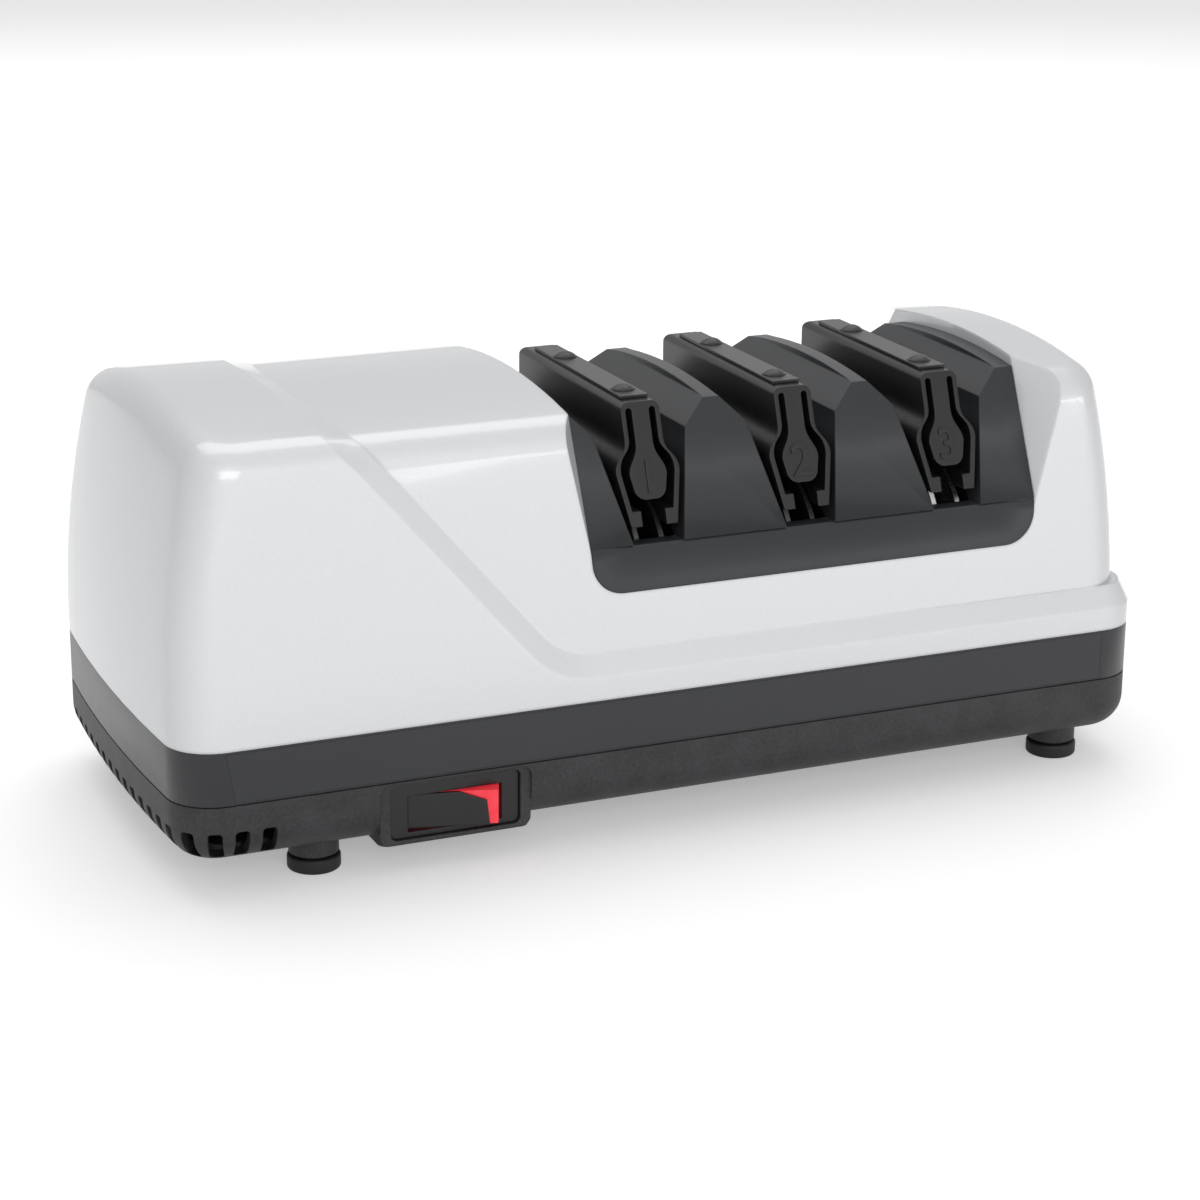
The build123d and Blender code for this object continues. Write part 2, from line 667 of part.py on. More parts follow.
with BuildPart() as base_tray:
    extrude(inner_plan(base_floor_z, 0), amount=band_low_z - base_floor_z)
    fillet(base_tray.faces().sort_by(Axis.Z)[0].edges(), base_edge_round)
    add(tray_space.part, mode=Mode.SUBTRACT)
    # locating lip that stands up inside the band
    lip_root_z = band_low_z - 1.5 * rim_lip_height
    extrude(inner_plan(lip_root_z, wall - 0.1), amount=band_low_z - lip_root_z)
    extrude(inner_plan(band_low_z, wall + fit_gap), amount=rim_lip_height)
    extrude(inner_plan(lip_root_z, wall + fit_gap + rim_lip_thickness),
            amount=band_low_z + rim_lip_height - lip_root_z, mode=Mode.SUBTRACT)
    # vents
    with BuildSketch(*vent_planes()):
        RectangleRounded(vent_width, vent_height, vent_width / 4)
    extrude(amount=base_edge_round + 1, mode=Mode.SUBTRACT)
    # pad and bay of the switch
    with BuildSketch(Plane.XZ.offset(-switch_pad_y)):
        with Locations((switch_x, pad_mid_z)):
            RectangleRounded(pad_width, pad_height, switch_pad_round)
    extrude(amount=depth, mode=Mode.SUBTRACT)
    with BuildSketch(Plane.XZ.offset(-switch_pad_y)):
        with Locations((switch_x, pad_mid_z)):
            RectangleRounded(pad_width, pad_height, switch_pad_round)
    extrude(amount=-switch_pad_depth)
    with BuildSketch(Plane.XY.offset(switch_pad_low_z)):
        with Locations((switch_x, (switch_pad_y + bay_depth_y + 2) / 2)):
            RectangleRounded(pad_width, bay_depth_y + 2 - switch_pad_y, switch_pad_round)
    extrude(amount=floor_top_z - switch_pad_low_z)
    with BuildSketch(Plane.XZ.offset(-switch_pad_y)):
        with Locations((switch_x, bezel_mid_z)):
            RectangleRounded(2 * (switch_half + bezel_margin + fit_gap), bezel_height + 2 * fit_gap,
                             bezel_round + fit_gap)
    extrude(amount=switch_pad_y - bezel_back_y, mode=Mode.SUBTRACT)
    with BuildSketch(Plane.XZ.offset(-bezel_back_y)):
        with Locations((switch_x, switch_mid_z)):
            Rectangle(2 * (switch_half + switch_wall + fit_gap), switch_height + 2 * (switch_wall + fit_gap))
    extrude(amount=bezel_back_y - bay_depth_y, mode=Mode.SUBTRACT)
    # pad and hole of the cord inlet
    with BuildSketch(Plane.XZ.offset(-depth / 2)):
        with Locations((inlet_x, inlet_z)):
            Circle(inlet_pad_radius)
    extrude(amount=inlet_wall)
    with BuildSketch(Plane.XZ.offset(-depth / 2)):
        with Locations((inlet_x, inlet_z)):
            Circle(inlet_neck_radius + seat_gap)
    extrude(amount=3 * wall, mode=Mode.SUBTRACT)
    # screw bosses over the feet
    with BuildSketch(Plane.XY.offset(foot_post_low_z)):
        with Locations(*foot_places):
            Circle(foot_post_radius)
    extrude(amount=floor_top_z - foot_post_low_z)
    with BuildSketch(Plane.XY.offset(base_floor_z)):
        with Locations(*foot_places):
            Circle(foot_bore_radius + foot_bore_wall)
    extrude(amount=band_high_z - base_floor_z)
    with BuildSketch(Plane.XY.offset(foot_post_low_z)):
        with Locations(*foot_places):
            Circle(foot_bore_radius)
    extrude(amount=base_screw_seat_z - foot_post_low_z, mode=Mode.SUBTRACT)
    with BuildSketch(Plane.XY.offset(foot_post_low_z)):
        with Locations(*foot_places):
            Circle(screw_clear_radius)
    extrude(amount=band_high_z - foot_post_low_z, mode=Mode.SUBTRACT)
    # posts that carry the motor
    with BuildSketch(Plane.XY.offset(base_floor_z)):
        with Locations(*motor_posts):
            Circle(boss_radius)
    extrude(amount=stack_low_z - base_floor_z)
    with BuildSketch(Plane.XY.offset(switch_pad_low_z)):
        with Locations(*motor_posts):
            Circle(screw_head_radius + free_gap)
    extrude(amount=motor_screw_seat_z - switch_pad_low_z, mode=Mode.SUBTRACT)
    with BuildSketch(Plane.XY.offset(motor_screw_seat_z)):
        with Locations(*motor_posts):
            Circle(screw_clear_radius)
    extrude(amount=stack_low_z - motor_screw_seat_z, mode=Mode.SUBTRACT)
    # bosses under the foot of the end bearing bracket
    end_screw_places = [(end_bracket_left_x + end_bracket_plate / 2 + dx, shaft_y)
                        for dx in (-end_screw_offset, end_screw_offset)]
    with BuildSketch(Plane.XY.offset(base_floor_z)):
        with Locations(*end_screw_places):
            Circle(boss_radius)
    extrude(amount=end_foot_z - base_floor_z)
    with BuildSketch(Plane.XY.offset(floor_top_z - 0.5)):
        with Locations(*end_screw_places):
            Circle(screw_radius + thread_gap)
    extrude(amount=end_foot_z - floor_top_z + 0.5, mode=Mode.SUBTRACT)
    # opening over the filings door and the rails that carry the door
    filings_mid = ((filings_left_x + filings_right_x) / 2, (filings_front_y + filings_back_y) / 2)
    with BuildSketch(Plane.XY.offset(base_floor_z)):
        with Locations(filings_mid):
            RectangleRounded(filings_right_x - filings_left_x, filings_back_y - filings_front_y,
                             filings_corner_round)
    extrude(amount=wall, mode=Mode.SUBTRACT)
    rail_left_x = door_left_x - door_travel - 1
    rail_right_x = door_right_x + free_gap + rail_wall
    for edge_y, side in ((door_front_y - free_gap, -1), (door_back_y + free_gap, 1)):
        with BuildSketch(Plane.YZ.offset(rail_left_x)):
            with BuildLine():
                Polyline((edge_y, base_floor_z + 0.8), (edge_y, rail_low_z + rail_lip_thickness),
                         (edge_y - side * rail_lip / 2, rail_low_z + rail_lip_thickness),
                         (edge_y - side * rail_lip / 2, rail_low_z),
                         (edge_y + side * rail_wall, rail_low_z),
                         (edge_y + side * rail_wall, base_floor_z + 0.8), close=True)
            make_face()
        extrude(amount=rail_right_x - rail_left_x)
    with BuildSketch(Plane.XY.offset(door_low_z)):
        with Locations((door_right_x + free_gap + rail_wall / 2, filings_mid[1])):
            Rectangle(rail_wall, door_back_y - door_front_y + 2 * rail_wall)
    extrude(amount=base_floor_z + 0.8 - door_low_z)
base_tray.part.label = "base_tray"
export_step(base_tray.part, "parts/base_tray.step")

with BuildPart() as rubber_feet:
    with BuildSketch():
        with Locations(*foot_places):
            Circle(foot_radius)
    extrude(amount=foot_pad_height)
    fillet(rubber_feet.edges(), foot_edge_round)
    with BuildSketch(Plane.XY.offset(foot_pad_height)):
        with Locations(*foot_places):
            Circle(foot_neck_radius)
    extrude(amount=foot_post_low_z - foot_pad_height)
    with BuildSketch(Plane.XY.offset(foot_post_low_z)):
        with Locations(*foot_places):
            Circle(foot_bore_radius - seat_gap)
    extrude(amount=foot_spigot_height)
rubber_feet.part.label = "rubber_feet"
export_step(rubber_feet.part, "parts/rubber_feet.step")


def upright_screws(places, seat_z, shank, head_up=False):
    """Screws standing upright: pan heads at the seat, plain shanks away from them."""
    side = -1 if head_up else 1
    with BuildPart() as screws:
        with BuildSketch(Plane.XY.offset(seat_z)):
            with Locations(*places):
                Circle(screw_head_radius)
        extrude(amount=-side * screw_head_height)
        with BuildSketch(Plane.XY.offset(seat_z - side * screw_head_height)):
            with Locations(*places):
                RegularPolygon(screw_radius * 0.8, 6)
        extrude(amount=side * screw_head_height * 0.6, mode=Mode.SUBTRACT)
        with BuildSketch(Plane.XY.offset(seat_z)):
            with Locations(*places):
                Circle(screw_radius)
        extrude(amount=side * shank)
    return screws.part


with BuildPart() as base_screws:
    add(upright_screws(foot_places, base_screw_seat_z, base_screw_length))
base_screws.part.label = "base_screws"
export_step(base_screws.part, "parts/base_screws.step")

# ---------------------------------------------------------------------------
# Sharpening module: dividers with blade slots over the disc wells
# ---------------------------------------------------------------------------
flank = tan(radians(slot_flank))
slot_high_half = slot_half + flank * (slot_high_z - slot_low_z)
shoulder_half = stage_pitch / 2 - ridge_half
shoulder_z = slot_high_z + shoulder_half - slot_high_half
lever_mid_z = lever_low_z + lever_thickness / 2
module_screw_places = [(module_x - module_screw_half_span, module_screw_y),
                       (module_x + module_screw_half_span, module_screw_y)]

with BuildPart() as guide_module:
    extrude(notch_sketch(-fit_gap, notch_low_z, notch_round), amount=depth, both=True)
    # blade slots, with sloping shoulders at their mouths
    with BuildSketch(Plane.XZ):
        for xc in stage_centres:
            with BuildLine():
                Polyline((xc - slot_half, slot_low_z), (xc + slot_half, slot_low_z),
                         (xc + slot_high_half, slot_high_z), (xc + shoulder_half, shoulder_z),
                         (xc + shoulder_half, height + 20), (xc - shoulder_half, height + 20),
                         (xc - shoulder_half, shoulder_z), (xc - slot_high_half, slot_high_z), close=True)
            make_face()
    extrude(amount=depth, both=True, mode=Mode.SUBTRACT)
    # front lip flush with the housing, leaning front and back faces, arched ridges
    lip_y = casing_y(slot_low_z)
    front_lean = (lip_y + ridge_front_y) / (ridge_end_z - slot_low_z)
    back_lean = (lip_y - ridge_back_y) / (ridge_end_z - slot_low_z)
    over_z = ridge_peak_z + 5
    with BuildSketch(Plane.YZ.offset(-length / 2)):
        with BuildLine():
            Polyline((-casing_y(notch_low_z), notch_low_z), (-lip_y, slot_low_z),
                     (-lip_y + front_lean * (over_z - slot_low_z), over_z),
                     (lip_y - back_lean * (over_z - slot_low_z), over_z),
                     (lip_y, slot_low_z), (casing_y(notch_low_z), notch_low_z), close=True)
        make_face()
    extrude(amount=length, mode=Mode.INTERSECT)
    extrude(arch_sketch(-length / 2, ridge_arch_y, ridge_peak_z), amount=length, mode=Mode.INTERSECT)
    # block below the slots that surrounds the discs
    with BuildSketch(Plane.XY.offset(block_low_z)):
        with Locations(((block_left_x + block_right_x) / 2, (block_front_y + block_back_y) / 2)):
            Rectangle(block_right_x - block_left_x, block_back_y - block_front_y)
    extrude(amount=notch_low_z - block_low_z)
    # ribs that carry the blade guides
    with BuildSketch(Plane.XY.offset(slot_low_z)):
        for xc in stage_centres:
            with Locations((xc, (guide_rib_front_y + guide_rib_back_y) / 2)):
                Rectangle(2 * guide_rib_half, guide_rib_back_y - guide_rib_front_y)
    extrude(amount=guide_rib_top_z - slot_low_z)
    # wells round the discs, open below so that filings drop out
    with BuildSketch(Plane.XY.offset(shaft_z)):
        for xc in stage_centres:
            with BuildLine():
                Polyline((xc - well_half, shaft_y), (xc + well_half, shaft_y),
                         (xc + well_half, shaft_y + well_neck_radius),
                         (xc + well_rim_half, shaft_y + well_radius),
                         (xc - well_rim_half, shaft_y + well_radius),
                         (xc - well_half, shaft_y + well_neck_radius), close=True)
            make_face()
    revolve(axis=Axis((0, shaft_y, shaft_z), (1, 0, 0)), mode=Mode.SUBTRACT)
    with BuildSketch(Plane.XY.offset(block_low_z)):
        for xc in stage_centres:
            with Locations((xc, shaft_y)):
                Rectangle(2 * well_half - 1, 2 * well_radius)
    extrude(amount=shaft_z - block_low_z, mode=Mode.SUBTRACT)
    with BuildSketch(Plane.YZ.offset(block_left_x - 15)):
        with Locations((shaft_y, shaft_z)):
            Circle(tunnel_radius)
    extrude(amount=block_right_x - block_left_x + 30, mode=Mode.SUBTRACT)
    # window for the dressing lever, boss and bore for its pin
    with BuildSketch(Plane.YZ.offset(stage_centres[2] - lever_slot_half)):
        with Locations((block_back_y, lever_mid_z)):
            Rectangle(-2 * (lever_pad_front_y - 1), lever_pad_height + 3)
    extrude(amount=2 * lever_slot_half, mode=Mode.SUBTRACT)
    with BuildSketch(Plane.XY.offset(lever_low_z + lever_thickness + free_gap)):
        with Locations((stage_centres[2], lever_pivot_y)):
            Circle(lever_hub_radius)
    extrude(amount=notch_low_z - lever_low_z - lever_thickness - free_gap)
    with BuildSketch(Plane.XY.offset(lever_low_z + lever_thickness)):
        with Locations((stage_centres[2], lever_pivot_y)):
            Circle(lever_pin_radius + seat_gap)
    extrude(amount=notch_low_z - lever_low_z, mode=Mode.SUBTRACT)
    # bores for the module screws and the guide pins
    with BuildSketch(Plane.XY.offset(notch_low_z)):
        with Locations(*module_screw_places):
            Circle(screw_radius + thread_gap)
    extrude(amount=module_screw_length - module_tab_thickness + 0.5, mode=Mode.SUBTRACT)
    with BuildSketch(Plane.XY.offset(guide_rib_top_z)):
        with Locations(*[(xc, pin_back_y) for xc in stage_centres]):
            Circle(pin_radius + seat_gap)
    extrude(amount=-pin_rib_grip - 0.5, mode=Mode.SUBTRACT)
guide_module.part.label = "guide_module"
export_step(guide_module.part, "parts/guide_module.step")

with BuildPart() as module_screws:
    add(upright_screws(module_screw_places, notch_low_z - module_tab_thickness, module_screw_length))
module_screws.part.label = "module_screws"
export_step(module_screws.part, "parts/module_screws.step")

# ---------------------------------------------------------------------------
# Blade guides: a tongue ending in a bulb, between two springy arms
# ---------------------------------------------------------------------------
for stage, xc in enumerate(stage_centres, start=1):
    with BuildPart() as blade_guide:
        with BuildSketch(Plane.XZ) as guide_view:
            with BuildLine():
                Line((0, guide_top_z), (guide_half - guide_shoulder_round, guide_top_z))
                RadiusArc((guide_half - guide_shoulder_round, guide_top_z),
                          (guide_half, guide_top_z - guide_shoulder_round), guide_shoulder_round)
                Line((guide_half, guide_top_z - guide_shoulder_round), arm_outer_bend[0])
                Spline(*arm_outer_bend, tangents=[(0, -1), (-0.05, -1)])
                Polyline(*arm_foot)
                Spline(*arm_inner_bend, tangents=[(0.05, 1), (0, 1)])
                Line(arm_inner_bend[2], gap_top[0])
                ThreePointArc(*gap_top)
                Line(gap_top[2], tongue_bend[0])
                Spline(*tongue_bend, tangents=[(0, -1), (-0.05, -1)])
                Line(*bulb_side)
                ThreePointArc(*bulb_low)
                Line(bulb_low[2], (0, bulb_low[2][1]))
                Line((0, bulb_low[2][1]), (0, guide_top_z))
            make_face()
            mirror(about=Plane.YZ)
        extrude(amount=depth, both=True)
        # front leans back, back end stands upright with a rounded top corner
        lean = (guide_front_y - guide_front_low_y) / (guide_top_z - guide_low_z)
        with BuildSketch(Plane.YZ.offset(-stage_pitch / 2)) as guide_side:
            with BuildLine():
                Polyline((guide_front_low_y - lean, guide_low_z - 1), (guide_back_y, guide_low_z - 1),
                         (guide_back_y, guide_top_z), (guide_front_y, guide_top_z), close=True)
            make_face()
            top_back = guide_side.vertices().sort_by_distance((guide_back_y, guide_top_z, 0))[0]
            fillet(top_back, guide_back_round)
        extrude(amount=stage_pitch, mode=Mode.INTERSECT)
        # slot that sits over the module's rib
        with BuildSketch(Plane.YZ.offset(-guide_rib_half - fit_gap)):
            with Locations(((guide_rib_front_y - 1 + guide_back_y + 1) / 2, guide_rib_top_z / 2)):
                Rectangle(guide_back_y - guide_rib_front_y + 2, guide_rib_top_z)
        extrude(amount=2 * (guide_rib_half + fit_gap), mode=Mode.SUBTRACT)
        # room for the discs
        with BuildSketch(Plane.YZ.offset(-stage_pitch / 2)):
            with Locations((shaft_y, shaft_z)):
                Circle(well_radius + guide_disc_gap)
        extrude(amount=stage_pitch, mode=Mode.SUBTRACT)
        # bores for the pins
        with BuildSketch(Plane.XY.offset(guide_top_z)):
            with Locations((0, pin_front_y)):
                Circle(pin_radius + seat_gap)
        extrude(amount=-pin_front_shank - 0.5, mode=Mode.SUBTRACT)
        with BuildSketch(Plane.XY.offset(guide_top_z)):
            with Locations((0, pin_back_y)):
                Circle(pin_radius + seat_gap)
        extrude(amount=guide_rib_top_z - guide_top_z - 1, mode=Mode.SUBTRACT)
    placed_guide = blade_guide.part.moved(Location((xc, 0, 0)))
    placed_guide.label = f"blade_guide_{stage}"
    export_step(placed_guide, f"parts/blade_guide_{stage}.step")

    with BuildPart() as guide_strip:
        with BuildSketch(Plane.XY.offset(guide_top_z)):
            with BuildLine():
                Polyline((xc - strip_front_width / 2, strip_front_y),
                         (xc + strip_front_width / 2, strip_front_y),
                         (xc + strip_back_width / 2, strip_back_y),
                         (xc - strip_back_width / 2, strip_back_y), close=True)
            make_face()
            with Locations((xc, pin_front_y), (xc, pin_back_y)):
                Circle(pin_radius + seat_gap, mode=Mode.SUBTRACT)
        extrude(amount=strip_height)
    guide_strip.part.label = f"guide_strip_{stage}"
    export_step(guide_strip.part, f"parts/guide_strip_{stage}.step")

strip_top_z = guide_top_z + strip_height
dome_radius = (pin_head_radius ** 2 + pin_head_height ** 2) / (2 * pin_head_height)
dome_angle = degrees(atan2(dome_radius - pin_head_height, pin_head_radius))
with BuildPart() as guide_pins:
    for xc in stage_centres:
        back_shank = strip_top_z - guide_rib_top_z + pin_rib_grip
        for y, shank in ((pin_front_y, pin_front_shank), (pin_back_y, back_shank)):
            with BuildSketch(Plane(origin=(xc, y, strip_top_z), x_dir=(1, 0, 0), z_dir=(0, -1, 0))):
                with BuildLine():
                    Line((0, pin_head_height), (0, -shank))
                    Line((0, -shank), (pin_radius, -shank))
                    Line((pin_radius, -shank), (pin_radius, 0))
                    Line((pin_radius, 0), (pin_head_radius, 0))
                    CenterArc((0, pin_head_height - dome_radius), dome_radius, dome_angle, 90 - dome_angle)
                make_face()
            revolve(axis=Axis((xc, y, 0), (0, 0, 1)))
guide_pins.part.label = "guide_pins"
export_step(guide_pins.part, "parts/guide_pins.step")

# ---------------------------------------------------------------------------
# Shaft, sharpening discs, springs and drive pins
# ---------------------------------------------------------------------------
shaft_axis = Axis((0, shaft_y, shaft_z), (1, 0, 0))
pin_places = [(xc + side * disc_pin_x, shaft_y) for xc in stage_centres for side in (-1, 1)]

with BuildPart() as drive_shaft:
    with BuildSketch(Plane.YZ.offset(shaft_left_x)):
        with Locations((shaft_y, shaft_z)):
            Circle(shaft_radius)
    extrude(amount=shaft_right_x - shaft_left_x)
    chamfer(drive_shaft.edges().filter_by(GeomType.CIRCLE), 0.5)
    with BuildSketch(Plane.XY.offset(shaft_z)):
        with Locations(*pin_places):
            Circle(disc_pin_radius + seat_gap)
    extrude(amount=2 * shaft_radius, both=True, mode=Mode.SUBTRACT)
drive_shaft.part.label = "drive_shaft"
export_step(drive_shaft.part, "parts/drive_shaft.step")

with BuildPart() as drive_pins:
    with BuildSketch(Plane.XY.offset(shaft_z - disc_pin_length / 2)):
        with Locations(*pin_places):
            Circle(disc_pin_radius)
    extrude(amount=disc_pin_length)
drive_pins.part.label = "drive_pins"
export_step(drive_pins.part, "parts/drive_pins.step")

for stage, xc in enumerate(stage_centres, start=1):
    for side, side_name in ((-1, "left"), (1, "right")):
        outline = [(bush_gap + shaft_radius, disc_web_inner), (bush_gap + shaft_radius, disc_hub_outer),
                   (disc_hub_radius, disc_hub_outer), (disc_hub_radius, disc_web_outer),
                   (disc_web_radius, disc_web_outer), (disc_radius, disc_rim_outer),
                   (disc_radius, disc_rim_inner), (disc_web_radius, disc_web_inner)]
        with BuildPart() as sharpening_disc:
            with BuildSketch(Plane.XY.offset(shaft_z)):
                with BuildLine():
                    Polyline(*[(xc + side * dx, shaft_y + r) for r, dx in outline], close=True)
                make_face()
            revolve(axis=shaft_axis)
        sharpening_disc.part.label = f"disc_{stage}_{side_name}"
        export_step(sharpening_disc.part, f"parts/disc_{stage}_{side_name}.step")

    spring_length = 2 * (disc_web_inner - free_gap - spring_wire_radius)
    with BuildPart() as disc_spring:
        with BuildLine() as coil:
            Helix(spring_length / spring_turns, spring_length, spring_radius,
                  center=(xc - spring_length / 2, shaft_y, shaft_z), direction=(1, 0, 0))
        with BuildSketch(Plane(origin=coil.line @ 0, z_dir=coil.line % 0)):
            Circle(spring_wire_radius)
        sweep(path=coil.line, is_frenet=True)
    disc_spring.part.label = f"disc_spring_{stage}"
    export_step(disc_spring.part, f"parts/disc_spring_{stage}.step")

# ---------------------------------------------------------------------------
# Motor: laminated stack, coil, rotor, fan, bearing brackets
# ---------------------------------------------------------------------------
leg_mid_y = stack_back_y - leg_thickness / 2
window_back_y = stack_back_y - leg_thickness
bolt_places = [(shaft_y, shaft_z - bracket_bolt_z), (shaft_y, shaft_z + bracket_bolt_z)]

with BuildPart() as motor_stack:
    with BuildSketch(Plane.YZ.offset(stack_left_x)):
        with Locations(((stack_front_y + stack_back_y) / 2, shaft_z)):
            Rectangle(stack_back_y - stack_front_y, 2 * stack_half_height)
        with Locations((shaft_y, shaft_z)):
            Circle(bore_radius, mode=Mode.SUBTRACT)
        with Locations(((window_front_y + window_back_y) / 2, shaft_z)):
            Rectangle(window_back_y - window_front_y, 2 * window_half_height, mode=Mode.SUBTRACT)
        with Locations(*bolt_places):
            Circle(screw_clear_radius, mode=Mode.SUBTRACT)
    extrude(amount=stack_width)
    chamfer(motor_stack.edges().filter_by(Axis.X).group_by(Axis.Z)[-1], stack_edge_cut)
    with BuildSketch(Plane.XY.offset(stack_low_z)):
        with Locations(*motor_posts):
            Circle(screw_radius + thread_gap)
    extrude(amount=motor_screw_grip + 0.5, mode=Mode.SUBTRACT)
motor_stack.part.label = "motor_stack"
export_step(motor_stack.part, "parts/motor_stack.step")

with BuildPart() as motor_mount_screws:
    add(upright_screws(motor_posts, motor_screw_seat_z, stack_low_z + motor_screw_grip - motor_screw_seat_z))
motor_mount_screws.part.label = "motor_mount_screws"
export_step(motor_mount_screws.part, "parts/motor_mount_screws.step")

bobbin_low_z = shaft_z - window_half_height + free_gap
bobbin_height = 2 * (window_half_height - free_gap)
bobbin_in_x = stack_width + 2 * fit_gap
bobbin_in_y = leg_thickness + 2 * fit_gap
bobbin_x = bobbin_in_x + 2 * bobbin_wall
bobbin_y = bobbin_in_y + 2 * bobbin_wall
with BuildPart() as coil_bobbin:
    with BuildSketch(Plane.XY.offset(bobbin_low_z)):
        with Locations((stack_x, leg_mid_y)):
            Rectangle(bobbin_x, bobbin_y)
    extrude(amount=bobbin_height)
    for z in (bobbin_low_z, bobbin_low_z + bobbin_height - bobbin_wall):
        with BuildSketch(Plane.XY.offset(z)):
            with Locations((stack_x, leg_mid_y)):
                RectangleRounded(bobbin_x + 2 * bobbin_flange, bobbin_y + 2 * bobbin_flange, bobbin_round)
        extrude(amount=bobbin_wall)
    with BuildSketch(Plane.XY.offset(bobbin_low_z)):
        with Locations((stack_x, leg_mid_y)):
            Rectangle(bobbin_in_x, bobbin_in_y)
    extrude(amount=bobbin_height, mode=Mode.SUBTRACT)
coil_bobbin.part.label = "coil_bobbin"
export_step(coil_bobbin.part, "parts/coil_bobbin.step")

with BuildPart() as motor_coil:
    with BuildSketch(Plane.XY.offset(bobbin_low_z + bobbin_wall)):
        with Locations((stack_x, leg_mid_y)):
            RectangleRounded(bobbin_x + 2 * winding_build, bobbin_y + 2 * winding_build, winding_round)
            Rectangle(bobbin_x, bobbin_y, mode=Mode.SUBTRACT)
    extrude(amount=bobbin_height - 2 * bobbin_wall)
motor_coil.part.label = "motor_coil"
export_step(motor_coil.part, "parts/motor_coil.step")

with BuildPart() as rotor_core:
    with BuildSketch(Plane.YZ.offset(stack_left_x)):
        with Locations((shaft_y, shaft_z)):
            Circle(rotor_radius)
    extrude(amount=stack_width)
    with BuildSketch(Plane.YZ.offset(stack_left_x - rotor_end_reach)):
        with Locations((shaft_y, shaft_z)):
            Circle(rotor_radius - rotor_end_step)
    extrude(amount=stack_width + 2 * rotor_end_reach)
    with BuildSketch(Plane.YZ.offset(stack_left_x - rotor_end_reach)):
        with Locations((shaft_y, shaft_z)):
            Circle(shaft_radius + seat_gap)
    extrude(amount=stack_width + 2 * rotor_end_reach, mode=Mode.SUBTRACT)
rotor_core.part.label = "rotor_core"
export_step(rotor_core.part, "parts/rotor_core.step")

with BuildPart() as cooling_fan:
    with BuildSketch(Plane.YZ.offset(fan_left_x)):
        with Locations((shaft_y, shaft_z)):
            Circle(fan_hub_radius)
    extrude(amount=fan_width)
    with BuildSketch(Plane.YZ.offset(fan_left_x + fan_width - fan_blade_thickness)):
        with Locations((shaft_y, shaft_z)):
            Circle(fan_radius)
    extrude(amount=fan_blade_thickness)
    with BuildSketch(Plane.YZ.offset(fan_left_x + 0.5)):
        with Locations((shaft_y, shaft_z)):
            with PolarLocations((fan_radius + fan_hub_radius) / 2, fan_blades):
                Rectangle(fan_radius - fan_hub_radius + 1, fan_blade_thickness)
    extrude(amount=fan_width - 1)
    with BuildSketch(Plane.YZ.offset(fan_left_x)):
        with Locations((shaft_y, shaft_z)):
            Circle(shaft_radius + seat_gap)
    extrude(amount=fan_width, mode=Mode.SUBTRACT)
cooling_fan.part.label = "cooling_fan"
export_step(cooling_fan.part, "parts/cooling_fan.step")

for side, face_x, side_name in ((-1, stack_left_x, "left"), (1, stack_right_x, "right")):
    plate_x = face_x + side * bracket_offset
    with BuildPart() as bearing_bracket:
        with BuildSketch(Plane.YZ.offset(plate_x)):
            with Locations((shaft_y, shaft_z)):
                RectangleRounded(bracket_width, 2 * (bracket_bolt_z + boss_radius), boss_radius)
        extrude(amount=side * bracket_plate)
        with BuildSketch(Plane.YZ.offset(face_x)):
            with Locations(*bolt_places):
                Circle(boss_radius - 0.4)
        extrude(amount=side * bracket_offset)
        with BuildSketch(Plane.YZ.offset(face_x)):
            with Locations(*bolt_places):
                Circle(screw_clear_radius)
            with Locations((shaft_y, shaft_z)):
                Circle(bush_radius + seat_gap)
        extrude(amount=side * (bracket_offset + bracket_plate), mode=Mode.SUBTRACT)
    bearing_bracket.part.label = f"bearing_bracket_{side_name}"
    export_step(bearing_bracket.part, f"parts/bearing_bracket_{side_name}.step")

bush_places = {
    "left": stack_left_x - bracket_offset - bracket_plate / 2,
    "right": stack_right_x + bracket_offset + bracket_plate / 2,
    "end": end_bracket_left_x + end_bracket_plate / 2,
}
for bush_name, bush_x in bush_places.items():
    with BuildPart() as shaft_bush:
        with BuildSketch(Plane.YZ.offset(bush_x - bush_length / 2)):
            with Locations((shaft_y, shaft_z)):
                Circle(bush_radius)
                Circle(shaft_radius + bush_gap, mode=Mode.SUBTRACT)
        extrude(amount=bush_length)
    shaft_bush.part.label = f"bush_{bush_name}"
    export_step(shaft_bush.part, f"parts/bush_{bush_name}.step")

bolt_left_x = stack_left_x - bracket_offset - bracket_plate
bolt_right_x = stack_right_x + bracket_offset + bracket_plate
with BuildPart() as motor_bolts:
    with BuildSketch(Plane.YZ.offset(bolt_left_x)):
        with Locations(*bolt_places):
            Circle(screw_head_radius)
    extrude(amount=-screw_head_height)
    with BuildSketch(Plane.YZ.offset(bolt_left_x)):
        with Locations(*bolt_places):
            Circle(screw_radius)
    extrude(amount=bolt_right_x - bolt_left_x + nut_height + 1)
motor_bolts.part.label = "motor_bolts"
export_step(motor_bolts.part, "parts/motor_bolts.step")

with BuildPart() as motor_nuts:
    with BuildSketch(Plane.YZ.offset(bolt_right_x)):
        with Locations(*bolt_places):
            RegularPolygon(screw_head_radius + free_gap, 6)
            Circle(screw_radius + thread_gap, mode=Mode.SUBTRACT)
    extrude(amount=nut_height)
motor_nuts.part.label = "motor_nuts"
export_step(motor_nuts.part, "parts/motor_nuts.step")

